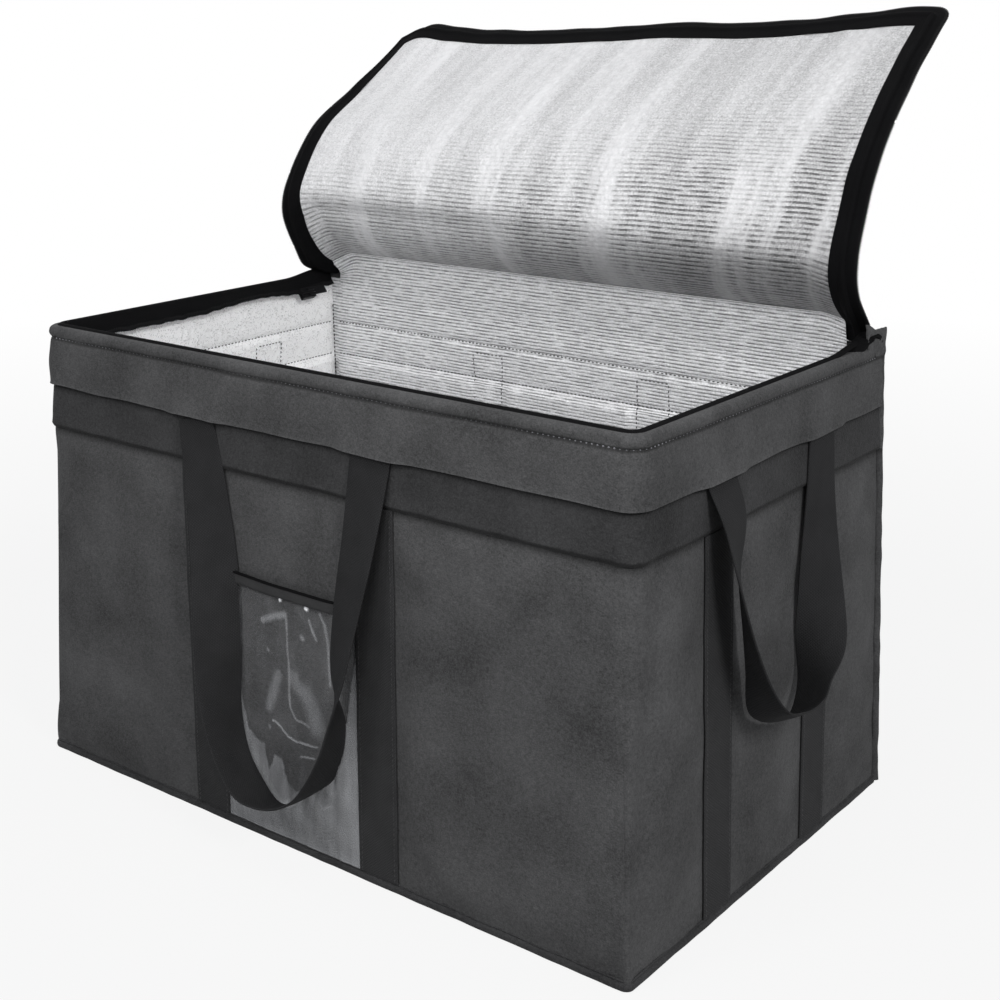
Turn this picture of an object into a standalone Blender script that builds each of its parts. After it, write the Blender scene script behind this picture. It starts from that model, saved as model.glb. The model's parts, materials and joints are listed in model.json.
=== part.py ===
"""Large insulated carrier bag, standing with its zipped lid thrown open.

Metres, +Z up. The origin is at the centre of the underside, +X runs to the right along the front wall
and the front wall faces -Y. The walls are layered: a fabric cover outside, a foam panel and a foil
lining inside. The walls lean out a little towards the base. The lid is one soft panel that bends along
its length, made here as flat lengths hinged in a row.
"""

import math

import bmesh
import bpy
from mathutils import Vector

# Body, measured outside the cover
TOP_WIDTH = 0.580
TOP_DEPTH = 0.340
WALL_HEIGHT = 0.380
WIDTH_SPREAD = 0.014
DEPTH_SPREAD = 0.018
CORNER_RADIUS = 0.014
INNER_CORNER_RADIUS = 0.002
CORNER_STEPS = 6

# Layers of the walls, lid and base
SEAM_GAP = 0.0003
COVER = 0.0010
FOAM = 0.0050
LINING = 0.0008
BASE_BOARD = 0.0025

# Bands and bindings sewn to the outside
RIM_BAND_HEIGHT = 0.048
RIM_BAND = 0.0012
STRIPE_HEIGHT = 0.0355
STRIPE = 0.0010
BASE_BINDING_HEIGHT = 0.008
BASE_BINDING_LIFT = 0.0006
BASE_BINDING = 0.0018
CORNER_CORD_RADIUS = 0.0022
CORNER_CORD_RISE = 0.010

# Webbing: strips sewn flat on the walls, and loose handles hung from the rim seam
WEBBING_WIDTH = 0.038
WEBBING = 0.0016
FRONT_PAIR_SPACING = 0.180
FRONT_PAIR_SHIFT_TOP = -0.018
FRONT_PAIR_SHIFT_BASE = -0.008
SIDE_PAIR_SPACING = 0.146
HANDLE_CLEARANCE = 0.0005
HANDLE_STAND_OFF = 0.026
LONG_HANDLE_DROP = 0.295
SIDE_HANDLE_DROP = 0.218
HANDLE_STEPS = 4

# One leg of a handle from the rim seam to the middle of the loop: share of half the spacing, share of
# the drop, share of the stand-off, and share of the quarter turn that the webbing makes
LEG_SHARES = (
    (1.00, 0.00, 0.00, 0.00),
    (0.93, 0.14, 0.20, 0.10),
    (0.84, 0.34, 0.55, 0.28),
    (0.78, 0.56, 0.75, 0.50),
    (0.76, 0.76, 0.92, 0.74),
    (0.62, 0.91, 1.00, 0.92),
    (0.30, 0.985, 1.00, 1.00),
    (0.00, 1.00, 1.00, 1.00),
)

# Clear pocket between the two front strips
POCKET_HEIGHT = 0.217
POCKET_BULGE = 0.0056
FILM = 0.0006
POCKET_BINDING_HEIGHT = 0.009
POCKET_BINDING = 0.0008

# Across the pocket: share of its width, share of the bulge. Up it: share of its height, share of the bulge
POCKET_ACROSS_SHARES = ((0.0, 0.0), (0.06, 0.5), (0.14, 1.0), (0.86, 1.0), (0.94, 0.5), (1.0, 0.0))
POCKET_UP_SHARES = ((0.0, 0.05), (0.05, 0.45), (0.14, 1.0), (1.0, 1.0))

# Zipper: the tape along the rim hangs into the bag, with a slider at each rear end
ZIP_TAPE_WIDTH = 0.0176
ZIP_TAPE = 0.0010
ZIP_TAPE_DROOP = math.radians(55)
ZIP_TAPE_END = 0.006
SLIDER_LENGTH = 0.016
SLIDER_GRIP = 0.0085
SLIDER_NOSE = 0.0020
SLIDER_PLATE = 0.0017
SLIDER_CLEARANCE = 0.0004
SLIDER_RIB_WIDTH = 0.0020
SLIDER_RIB_HEIGHT = 0.0018
SLIDER_FROM_REAR = 0.052
PULL_LENGTH = 0.022
PULL_WIDTH = 0.0080
PULL = 0.0012
PULL_CLEARANCE = 0.0005

# Lid: its setback from the outside of the rim, its zipper border and the shape that it stands in
LID_SETBACK = 0.0045
LID_SIDE_SETBACK = 0.002
LID_LIFT = 0.0005
LID_BORDER = 0.024
LID_BORDER_TAPE = 0.0012
LID_LENGTH_SHARES = (0.24, 0.22, 0.25, 0.29)
LID_ANGLES = tuple(math.radians(angle) for angle in (51, 63.5, 25, 5.5))
FOLD_STEPS = 8

QUARTER_TURN = math.pi / 2

# Layer positions, as insets from the outside of the cover
FOAM_INSET = COVER + SEAM_GAP
LINING_INSET = FOAM_INSET + FOAM + SEAM_GAP
WALL = LINING_INSET + LINING

# Heights
WALL_FOOT = COVER + SEAM_GAP
WALL_TOP = WALL_HEIGHT - RIM_BAND - SEAM_GAP
RIM_SEAM = WALL_HEIGHT - RIM_BAND_HEIGHT
STRIPE_TOP = RIM_SEAM - SEAM_GAP
STRIPE_FOOT = STRIPE_TOP - STRIPE_HEIGHT
STRIP_TOP = STRIPE_FOOT - SEAM_GAP
STRIP_FOOT = BASE_BINDING_HEIGHT + SEAM_GAP
BOARD_FOOT = COVER + SEAM_GAP
BASE_FOAM_FOOT = BOARD_FOOT + BASE_BOARD + SEAM_GAP
BASE_LINING_FOOT = BASE_FOAM_FOOT + FOAM + SEAM_GAP

# Lid sizes that follow from the body
LID_LENGTH = TOP_DEPTH - 2 * LID_SETBACK
LID_HALF_WIDTH = TOP_WIDTH / 2 - LID_SIDE_SETBACK
LID_PANEL_HALF_WIDTH = LID_HALF_WIDTH - LID_BORDER
LID = COVER + SEAM_GAP + FOAM + SEAM_GAP + LINING

# Finishes: base colour, roughness, metallic
FABRIC = ((0.050, 0.050, 0.052), 0.85, 0.0)
BAND_FABRIC = ((0.038, 0.038, 0.040), 0.85, 0.0)
WEBBING_FABRIC = ((0.024, 0.024, 0.026), 0.80, 0.0)
BINDING_TAPE = ((0.012, 0.012, 0.013), 0.75, 0.0)
FOIL = ((0.78, 0.78, 0.80), 0.28, 0.9)
PEARL_FOAM = ((0.85, 0.85, 0.86), 0.70, 0.0)
PLASTIC_BOARD = ((0.10, 0.10, 0.11), 0.50, 0.0)
CLEAR_FILM = ((0.45, 0.46, 0.48), 0.08, 0.0)
DARK_METAL = ((0.09, 0.09, 0.10), 0.35, 0.9)


def clear_scene():
    for obj in list(bpy.data.objects):
        bpy.data.objects.remove(obj, do_unlink=True)


def new_collection(name):
    collection = bpy.data.collections.new(name)
    bpy.context.scene.collection.children.link(collection)
    return collection


def finish(obj, look, parent=None):
    """Give an object its own material, put it in the bag's collection and seat it on its parent."""
    colour, roughness, metallic = look
    material = bpy.data.materials.new(obj.name + "_finish")
    material.use_nodes = True
    shader = material.node_tree.nodes["Principled BSDF"]
    shader.inputs["Base Color"].default_value = (*colour, 1.0)
    shader.inputs["Roughness"].default_value = roughness
    shader.inputs["Metallic"].default_value = metallic
    material.diffuse_color = (*colour, 1.0)
    obj.data.materials.append(material)
    PARTS.objects.link(obj)
    obj.parent = parent
    return obj


def pivot(name, location, rotation=(0, 0, 0), parent=None):
    """Empty that carries the pieces of one moving body, with its origin on the joint's axis."""
    empty = bpy.data.objects.new(name, None)
    empty.location = location
    empty.rotation_euler = rotation
    empty.parent = parent
    PARTS.objects.link(empty)
    return empty


def grid_of(columns, rows, place):
    """Open grid of columns by rows with each corner put where place(column, row) says."""
    bm = bmesh.new()
    bmesh.ops.create_grid(bm, x_segments=columns - 1, y_segments=rows - 1, size=1)
    for vert in bm.verts:
        column = round((vert.co.x + 1) / 2 * (columns - 1))
        row = round((vert.co.y + 1) / 2 * (rows - 1))
        vert.co = place(column, row)
    return bm


def object_of(name, bm):
    mesh = bpy.data.meshes.new(name)
    bm.to_mesh(mesh)
    bm.free()
    return bpy.data.objects.new(name, mesh)


def sheet(name, columns, rows, place, thickness, look, offset=-1.0):
    """Grid surface thickened against its normals."""
    obj = object_of(name, grid_of(columns, rows, place))
    solidify = obj.modifiers.new("thickness", "SOLIDIFY")
    solidify.thickness = thickness
    solidify.offset = offset
    solidify.use_even_offset = True
    return finish(obj, look)


def swept(name, columns, profile, place, look):
    """Closed profile carried over a row of columns, with flat ends unless the row closes on itself."""
    loop = profile + profile[:1]
    bm = grid_of(columns, len(loop), lambda column, row: place(column, loop[row]))
    bmesh.ops.remove_doubles(bm, verts=bm.verts, dist=SEAM_GAP / 10)
    open_edges = [edge for edge in bm.edges if edge.is_boundary]
    bmesh.ops.holes_fill(bm, edges=open_edges, sides=0)
    bmesh.ops.recalc_face_normals(bm, faces=bm.faces)
    return finish(object_of(name, bm), look)


def box(name, low, high, look, parent=None):
    """Box between two corners given in its parent's frame."""
    low = Vector(low)
    high = Vector(high)
    bm = bmesh.new()
    bmesh.ops.create_cube(bm, size=1)
    bmesh.ops.scale(bm, vec=high - low, verts=bm.verts)
    obj = object_of(name, bm)
    obj.location = (low + high) / 2
    return finish(obj, look, parent)


def plate(name, outline, thickness, location, look, rotation=(0, 0, 0), parent=None):
    """Flat outline with straight sides, its thickness centred on its location."""
    curve = bpy.data.curves.new(name, "CURVE")
    curve.dimensions = "2D"
    curve.fill_mode = "BOTH"
    curve.extrude = thickness / 2
    spline = curve.splines.new("POLY")
    spline.points.add(len(outline) - 1)
    for point, (x, y) in zip(spline.points, outline):
        point.co = (x, y, 0, 1)
    spline.use_cyclic_u = True
    obj = bpy.data.objects.new(name, curve)
    obj.location = location
    obj.rotation_euler = rotation
    return finish(obj, look, parent)


def rod(name, points, radius, look):
    """Round cord through a few points, with flat ends."""
    curve = bpy.data.curves.new(name, "CURVE")
    curve.dimensions = "3D"
    curve.bevel_depth = radius
    curve.bevel_resolution = 2
    curve.use_fill_caps = True
    spline = curve.splines.new("POLY")
    spline.points.add(len(points) - 1)
    for target, point in zip(spline.points, points):
        target.co = (*point, 1)
    return finish(bpy.data.objects.new(name, curve), look)


def half_width(z):
    return TOP_WIDTH / 2 + WIDTH_SPREAD * (1 - z / WALL_HEIGHT)


def half_depth(z):
    return TOP_DEPTH / 2 + DEPTH_SPREAD * (1 - z / WALL_HEIGHT)


def side_station(side):
    """Rear end of a side wall: side is -1 on the left and 1 on the right."""
    return side, None


def corner_stations(side, start, stop):
    """Stations round a front corner, from start to stop as angles off the side wall."""
    steps = CORNER_STEPS if abs(stop - start) > QUARTER_TURN * 0.75 else CORNER_STEPS // 2
    return [(side, start + (stop - start) * step / steps) for step in range(steps + 1)]


def wrap_stations():
    """The left wall from its rear end, the front wall and the right wall."""
    return (
        [side_station(-1)]
        + corner_stations(-1, 0, QUARTER_TURN)
        + corner_stations(1, QUARTER_TURN, 0)
        + [side_station(1)]
    )


def mitre_angle(inset, thickness):
    """Half of the seam gap at a mitred corner, as an angle on the panel's inner face."""
    inner_radius = max(CORNER_RADIUS - inset - thickness, INNER_CORNER_RADIUS)
    return math.asin(SEAM_GAP / 2 / inner_radius)


def front_stations(inset, thickness):
    start = QUARTER_TURN / 2 + mitre_angle(inset, thickness)
    return corner_stations(-1, start, QUARTER_TURN) + corner_stations(1, QUARTER_TURN, start)


def left_stations(inset, thickness):
    stop = QUARTER_TURN / 2 - mitre_angle(inset, thickness)
    return [side_station(-1)] + corner_stations(-1, 0, stop)


def right_stations(inset, thickness):
    stop = QUARTER_TURN / 2 - mitre_angle(inset, thickness)
    return corner_stations(1, stop, 0) + [side_station(1)]


def plan_point(station, inset, z, setback):
    """Point on the line that lies inset from the outside of the cover, at one station and height."""
    side, turn = station
    x_wall = half_width(z) - inset
    y_wall = half_depth(z) - inset
    if turn is None:
        return Vector((side * x_wall, half_depth(z) - setback, z))
    radius = max(CORNER_RADIUS - inset, INNER_CORNER_RADIUS)
    x = x_wall - radius + radius * math.cos(turn)
    y = y_wall - radius + radius * math.sin(turn)
    return Vector((side * x, -y, z))


def slab(inset, thickness, foot, top, setback):
    """Profile of one upright layer; a profile point is an inset, a height and a setback at its ends."""
    inner = inset + thickness
    return [
        (inset, foot, setback),
        (inset, top, setback),
        (inner, top, setback),
        (inner, foot, setback),
    ]


def wrapped(name, stations, profile, look):
    """Profile carried along the stations; its setback is measured from the rear wall."""

    def place(column, point):
        inset, z, setback = point
        return plan_point(stations[column], inset, z, setback)

    return swept(name, len(stations), profile, place, look)


def across_rear(name, profile, look):
    """Profile carried across the rear wall; its setback is measured from the side walls."""

    def place(column, point):
        inset, z, setback = point
        x = half_width(z) - setback
        return Vector((-x if column else x, half_depth(z) - inset, z))

    return swept(name, 2, profile, place, look)


def wall_point(wall, across, z, out):
    """Point on a wall: across to the right as seen from outside, at a height, out from the cover."""
    x = half_width(z) + out
    y = half_depth(z) + out
    return {
        "front": Vector((across, -y, z)),
        "rear": Vector((-across, y, z)),
        "left": Vector((-x, -across, z)),
        "right": Vector((x, across, z)),
    }[wall]


def base_outline(inset, z):
    """The bag's plan at one height: round front corners and square rear corners."""
    points = [plan_point(station, inset, z, inset) for station in wrap_stations()]
    return [(point.x, point.y) for point in points]


def base_layer(name, inset, foot, thickness, look):
    outline = base_outline(inset, foot + thickness)
    plate(name, outline, thickness, (0, 0, foot + thickness / 2), look)


def build_base():
    inside = WALL + SEAM_GAP
    base_layer("base_cover", 0, 0, COVER, FABRIC)
    base_layer("base_board", inside, BOARD_FOOT, BASE_BOARD, PLASTIC_BOARD)
    base_layer("base_foam", inside, BASE_FOAM_FOOT, FOAM, PEARL_FOAM)
    base_layer("base_lining", inside, BASE_LINING_FOOT, LINING, FOIL)


def build_covers():
    """One cover wraps the left, front and right walls; the rear wall has its own."""
    wrap = slab(0, COVER, WALL_FOOT, WALL_TOP, COVER + SEAM_GAP)
    wrapped("front_and_side_cover", wrap_stations(), wrap, FABRIC)
    across_rear("rear_cover", slab(0, COVER, WALL_FOOT, WALL_TOP, 0), FABRIC)


def build_wall_layer(layer, inset, thickness, look):
    """Four panels of one layer, mitred at the front corners and butted at the rear ones."""
    upright = slab(inset, thickness, WALL_FOOT, WALL_TOP, inset + thickness + SEAM_GAP)
    wrapped("front_" + layer, front_stations(inset, thickness), upright, look)
    wrapped("left_" + layer, left_stations(inset, thickness), upright, look)
    wrapped("right_" + layer, right_stations(inset, thickness), upright, look)
    across_rear("rear_" + layer, slab(inset, thickness, WALL_FOOT, WALL_TOP, inset), look)


def folded_band(setback):
    """Profile of the rim band: up the outside and in over the walls, mitred where it turns in."""
    under = WALL_HEIGHT - RIM_BAND
    flap = WALL + SEAM_GAP
    return [
        (-RIM_BAND - SEAM_GAP, RIM_SEAM, setback),
        (-RIM_BAND - SEAM_GAP, WALL_HEIGHT, setback),
        (WALL, WALL_HEIGHT, flap),
        (WALL, under, flap),
        (-SEAM_GAP, under, setback),
        (-SEAM_GAP, RIM_SEAM, setback),
    ]


def build_rim_bands():
    """Band round the rim, folded in over the tops of the walls."""
    wrapped("rim_band_front_and_sides", wrap_stations(), folded_band(0), FABRIC)
    across_rear("rim_band_rear", folded_band(SEAM_GAP), FABRIC)


def build_stripes():
    """Darker band sewn round the bag just under the rim band."""
    inset = -STRIPE - SEAM_GAP
    wrap = slab(inset, STRIPE, STRIPE_FOOT, STRIPE_TOP, 0)
    wrapped("stripe_front_and_sides", wrap_stations(), wrap, BAND_FABRIC)
    rear = slab(inset, STRIPE, STRIPE_FOOT, STRIPE_TOP, SEAM_GAP)
    across_rear("stripe_rear", rear, BAND_FABRIC)


def build_base_binding():
    """Binding tape round the bottom edge of all four walls."""
    stations = wrap_stations()
    stations.append(stations[0])
    outer = -BASE_BINDING - SEAM_GAP
    inner = -SEAM_GAP
    profile = [
        (outer, BASE_BINDING_LIFT, outer),
        (outer, BASE_BINDING_HEIGHT, outer),
        (inner, BASE_BINDING_HEIGHT, inner),
        (inner, BASE_BINDING_LIFT, inner),
    ]
    wrapped("base_binding", stations, profile, BINDING_TAPE)


def build_corner_cords():
    """Piped seam up each rear corner, standing a little above the rim."""
    stand_off = CORNER_CORD_RADIUS + SEAM_GAP
    foot = STRIP_FOOT
    head = WALL_HEIGHT + CORNER_CORD_RISE
    for name, side in (("left", -1), ("right", 1)):
        points = [
            (side * (half_width(z) + stand_off), half_depth(z) + stand_off, z)
            for z in (foot, head)
        ]
        rod("corner_cord_rear_" + name, points, CORNER_CORD_RADIUS, BINDING_TAPE)


def pair_centre(wall, z):
    """Middle of a wall's two strips, which lean a little on the front wall."""
    if wall != "front":
        return 0
    share = z / RIM_SEAM
    return FRONT_PAIR_SHIFT_BASE + (FRONT_PAIR_SHIFT_TOP - FRONT_PAIR_SHIFT_BASE) * share


def pair_spacing(wall):
    return FRONT_PAIR_SPACING if wall in ("front", "rear") else SIDE_PAIR_SPACING


def build_strips():
    """Webbing sewn flat up each wall, two to a wall, from the base binding to the stripe."""
    heights = (STRIP_FOOT, STRIP_TOP)
    out = WEBBING + SEAM_GAP
    for wall in ("front", "rear", "left", "right"):
        for number, side in ((1, -1), (2, 1)):

            def place(column, row):
                z = heights[row]
                edge = (column - 0.5) * WEBBING_WIDTH
                across = pair_centre(wall, z) + side * pair_spacing(wall) / 2 + edge
                return wall_point(wall, across, z, out)

            sheet(f"strip_{wall}_{number}", 2, 2, place, WEBBING, WEBBING_FABRIC)


def pocket_edge(side, z):
    """Edge of the clear pocket, beside the front strip on that side."""
    reach = FRONT_PAIR_SPACING / 2 - WEBBING_WIDTH / 2 - SEAM_GAP
    return pair_centre("front", z) + side * reach


def pocket_point(across_share, bulge_share, z, out):
    left = pocket_edge(-1, z)
    right = pocket_edge(1, z)
    across = left + (right - left) * across_share
    return wall_point("front", across, z, out + POCKET_BULGE * bulge_share)


def build_pocket():
    """Clear film sewn at its sides and foot, bulging from the wall, with a binding along its mouth."""
    film_out = SEAM_GAP + FILM
    span = POCKET_HEIGHT - STRIP_FOOT

    def place_film(column, row):
        across_share, across_bulge = POCKET_ACROSS_SHARES[column]
        up_share, up_bulge = POCKET_UP_SHARES[row]
        z = STRIP_FOOT + span * up_share
        return pocket_point(across_share, across_bulge * up_bulge, z, film_out)

    columns = len(POCKET_ACROSS_SHARES)
    rows = len(POCKET_UP_SHARES)
    sheet("pocket_film", columns, rows, place_film, FILM, CLEAR_FILM)
    binding_out = film_out + SEAM_GAP + POCKET_BINDING
    heights = (POCKET_HEIGHT - POCKET_BINDING_HEIGHT, POCKET_HEIGHT)

    def place_binding(column, row):
        across_share, across_bulge = POCKET_ACROSS_SHARES[column]
        return pocket_point(across_share, across_bulge, heights[row], binding_out)

    sheet("pocket_mouth_binding", columns, 2, place_binding, POCKET_BINDING, BINDING_TAPE)


def smooth_route(points, steps):
    """Points of a smooth curve through the given ones, with so many steps between neighbours."""
    ends = [points[0]] + list(points) + [points[-1]]
    route = []
    for before, start, stop, after in zip(ends, ends[1:], ends[2:], ends[3:]):
        for step in range(steps):
            t = step / steps
            route.append(
                tuple(
                    0.5 * (2 * b + (c - a) * t + (2 * a - 5 * b + 4 * c - d) * t**2
                           + (3 * b - a - 3 * c + d) * t**3)
                    for a, b, c, d in zip(before, start, stop, after)
                )
            )
    route.append(tuple(points[-1]))
    return route


def handle_seat_out():
    """How far out from the cover the middle of a handle's webbing is, where it hinges at the seam."""
    return SEAM_GAP + RIM_BAND + HANDLE_CLEARANCE + WEBBING / 2


def build_handle(name, wall, drop):
    """Loop of webbing hung from the rim seam; its legs turn edge on to the wall towards the bottom."""
    leg = smooth_route(LEG_SHARES, HANDLE_STEPS)
    route = [(-s, d, o, turn) for s, d, o, turn in leg]
    route += [(s, d, o, 2 - turn) for s, d, o, turn in reversed(leg[:-1])]
    top = RIM_SEAM - HANDLE_CLEARANCE - WEBBING / 2
    centre = pair_centre(wall, RIM_SEAM)
    half_spacing = pair_spacing(wall) / 2

    def spot(s, d, o):
        z = top - drop * d
        return wall_point(wall, centre + half_spacing * s, z, handle_seat_out() + HANDLE_STAND_OFF * o)

    spots = [spot(s, d, o) for s, d, o, turn in route]
    seat = spot(0, 0, 0)
    across = wall_point(wall, 1, top, 0) - wall_point(wall, 0, top, 0)
    outward = wall_point(wall, 0, top, 1) - wall_point(wall, 0, top, 0)

    ends = (0, len(spots) - 1)

    def place(column, row):
        turn = QUARTER_TURN * route[row][3]
        width = outward * math.sin(turn) - across * math.cos(turn)
        if row not in ends:
            tangent = (spots[row + 1] - spots[row - 1]).normalized()
            width = width - tangent * width.dot(tangent)
        return spots[row] - seat + width.normalized() * WEBBING_WIDTH * (0.5 - column)

    loop = sheet(name, 2, len(spots), place, WEBBING, WEBBING_FABRIC, offset=0.0)
    loop.location = seat
    return loop


def build_handles():
    build_handle("handle_front", "front", LONG_HANDLE_DROP)
    build_handle("handle_rear", "rear", LONG_HANDLE_DROP)
    build_handle("handle_left", "left", SIDE_HANDLE_DROP)
    build_handle("handle_right", "right", SIDE_HANDLE_DROP)


def zip_tape_rows():
    """Top and free edge of the body's zipper tape: inset, height and setback from the rear wall."""
    top_inset = WALL + SEAM_GAP + ZIP_TAPE / 2
    top = WALL_HEIGHT - RIM_BAND
    setback = WALL + ZIP_TAPE_END
    return (
        (top_inset, top, setback),
        (
            top_inset + ZIP_TAPE_WIDTH * math.cos(ZIP_TAPE_DROOP),
            top - ZIP_TAPE_WIDTH * math.sin(ZIP_TAPE_DROOP),
            setback,
        ),
    )


def build_slider(side_name, seat):
    """Channel that rides on the free edge of the zipper tape, with a rib that carries its pull."""
    slot = ZIP_TAPE / 2 + SLIDER_CLEARANCE
    top = slot + SLIDER_PLATE
    rib_top = top + SLIDER_RIB_HEIGHT
    rib_middle = (SLIDER_NOSE - SLIDER_GRIP) / 2
    rib_left = rib_middle - SLIDER_RIB_WIDTH / 2
    rib_right = rib_middle + SLIDER_RIB_WIDTH / 2
    outline = [
        (-SLIDER_GRIP, -top),
        (SLIDER_NOSE, -top),
        (SLIDER_NOSE, top),
        (rib_right, top),
        (rib_right, rib_top),
        (rib_left, rib_top),
        (rib_left, top),
        (-SLIDER_GRIP, top),
        (-SLIDER_GRIP, slot),
        (SLIDER_CLEARANCE, slot),
        (SLIDER_CLEARANCE, -slot),
        (-SLIDER_GRIP, -slot),
    ]
    upright = (QUARTER_TURN, 0, 0)
    name = "zip_slider_" + side_name
    plate(name, outline, SLIDER_LENGTH, (0, 0, 0), DARK_METAL, upright, seat)
    return rib_middle, top


def build_pull(side_name, seat, rib_middle, plate_top, rearward):
    """Flat tab forked over the slider's rib, lying towards the rear wall."""
    fork = SLIDER_LENGTH / 2 + PULL_CLEARANCE
    heel = PULL / 2
    slot_half = SLIDER_RIB_WIDTH / 2 + PULL_CLEARANCE
    half = PULL_WIDTH / 2
    outline = [
        (-half, -heel),
        (-slot_half, -heel),
        (-slot_half, fork),
        (slot_half, fork),
        (slot_half, -heel),
        (half, -heel),
        (half, PULL_LENGTH),
        (-half, PULL_LENGTH),
    ]
    outline = [(x, rearward * y) for x, y in outline]
    height = plate_top + math.hypot(PULL / 2, heel) + SEAM_GAP
    hinge = pivot(f"zip_pull_{side_name}_hinge", (rib_middle, 0, height), parent=seat)
    plate("zip_pull_" + side_name, outline, PULL, (0, 0, 0), DARK_METAL, parent=hinge)


def build_zipper():
    """Zipper tape along the front and side rims, hanging into the bag, and its two sliders."""
    rows = zip_tape_rows()
    stations = wrap_stations()

    def place(column, row):
        inset, z, setback = rows[row]
        return plan_point(stations[column], inset, z, setback)

    sheet("zip_tape_body", len(stations), len(rows), place, ZIP_TAPE, BINDING_TAPE, offset=0.0)
    inset, edge_height, _ = rows[1]
    x = half_width(edge_height) - inset
    y = TOP_DEPTH / 2 - SLIDER_FROM_REAR
    for name, side, turn, rearward in (("left", -1, 0, 1), ("right", 1, math.pi, -1)):
        rotation = (0, ZIP_TAPE_DROOP, turn)
        seat = pivot(f"zip_slider_{name}_seat", (side * x, y, edge_height), rotation)
        rib_middle, plate_top = build_slider(name, seat)
        build_pull(name, seat, rib_middle, plate_top, rearward)


def lid_layers(number, hinge, length, top, foam_start, lining_start):
    """Foam and lining of one length of the lid, below the height top in the hinge's frame."""
    half = LID_PANEL_HALF_WIDTH
    end = SEAM_GAP / 2 - length
    foam_top = top - COVER - SEAM_GAP
    lining_top = foam_top - FOAM - SEAM_GAP
    box(
        f"lid_foam_{number}",
        (-half, end, foam_top - FOAM),
        (half, -foam_start, foam_top),
        PEARL_FOAM,
        hinge,
    )
    box(
        f"lid_lining_{number}",
        (-half, end, lining_top - LINING),
        (half, -lining_start, lining_top),
        FOIL,
        hinge,
    )


def lid_border(number, hinge, length, top, start):
    """Zipper border along both sides of one length of the lid, level with its lining."""
    low = top - LID
    high = low + LID_BORDER_TAPE
    inner = LID_PANEL_HALF_WIDTH + SEAM_GAP
    for name, side in (("left", -1), ("right", 1)):
        near, far = sorted((side * inner, side * LID_HALF_WIDTH))
        box(
            f"lid_zip_tape_{name}_{number}",
            (near, SEAM_GAP / 2 - length, low),
            (far, -start, high),
            BINDING_TAPE,
            hinge,
        )


def lid_front_border(number, hinge, length, top, start):
    """Zipper border round the free end of the lid, in one piece with its sides there."""
    inner = LID_PANEL_HALF_WIDTH + SEAM_GAP
    panel_end = -length + LID_BORDER - SEAM_GAP
    outline = [
        (-LID_HALF_WIDTH, -start),
        (-LID_HALF_WIDTH, -length),
        (LID_HALF_WIDTH, -length),
        (LID_HALF_WIDTH, -start),
        (inner, -start),
        (inner, panel_end),
        (-inner, panel_end),
        (-inner, -start),
    ]
    middle = top - LID + LID_BORDER_TAPE / 2
    plate(
        f"lid_zip_tape_end_{number}", outline, LID_BORDER_TAPE, (0, 0, middle), BINDING_TAPE,
        parent=hinge,
    )


def lid_first_cover(hinge, length):
    """Cover of the first length, folded round the lid's rear edge under the hinge axis."""
    half = LID_PANEL_HALF_WIDTH
    radius = LID / 2
    profile = [(SEAM_GAP / 2 - length, radius), (0, radius)]
    for step in range(1, FOLD_STEPS + 1):
        angle = math.pi * step / FOLD_STEPS
        profile.append((radius * math.sin(angle), radius * math.cos(angle)))

    def place(column, row):
        y, z = profile[row]
        return Vector((half if column else -half, y, z))

    cover = sheet("lid_cover_1", 2, len(profile), place, COVER, FABRIC)
    cover.parent = hinge


def build_lid():
    """Four lengths of lid, each hinged to the last along the outside of the cover."""
    lengths = [LID_LENGTH * share for share in LID_LENGTH_SHARES]
    rear = TOP_DEPTH / 2 - LID_SETBACK
    height = WALL_HEIGHT + LID_LIFT + LID / 2
    hinge = pivot("lid_hinge_1", (0, rear, height), (-LID_ANGLES[0], 0, 0))
    lid_first_cover(hinge, lengths[0])
    lid_layers(1, hinge, lengths[0], LID / 2, COVER, SEAM_GAP)
    lid_border(1, hinge, lengths[0], LID / 2, SEAM_GAP)
    step = Vector((0, -lengths[0], LID / 2))
    for number, (length, angle) in enumerate(zip(lengths[1:], LID_ANGLES[1:]), start=2):
        hinge = pivot(f"lid_hinge_{number}", step, (-angle, 0, 0), hinge)
        last = number == len(lengths)
        panel = length - LID_BORDER if last else length
        start = SEAM_GAP / 2
        half = LID_PANEL_HALF_WIDTH
        box(
            f"lid_cover_{number}",
            (-half, SEAM_GAP / 2 - panel, -COVER),
            (half, -start, 0),
            FABRIC,
            hinge,
        )
        lid_layers(number, hinge, panel, 0, start, start)
        if last:
            lid_front_border(number, hinge, length, 0, start)
        else:
            lid_border(number, hinge, length, 0, start)
        step = Vector((0, -length, 0))


clear_scene()
PARTS = new_collection("insulated_carrier_bag")
build_base()
build_covers()
build_wall_layer("foam", FOAM_INSET, FOAM, PEARL_FOAM)
build_wall_layer("lining", LINING_INSET, LINING, FOIL)
build_rim_bands()
build_stripes()
build_base_binding()
build_corner_cords()
build_strips()
build_pocket()
build_handles()
build_zipper()
build_lid()
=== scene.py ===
"""Insulated carrier bag with its lid thrown open: cloth, foil, webbing and zipper on the frame."""

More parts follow.
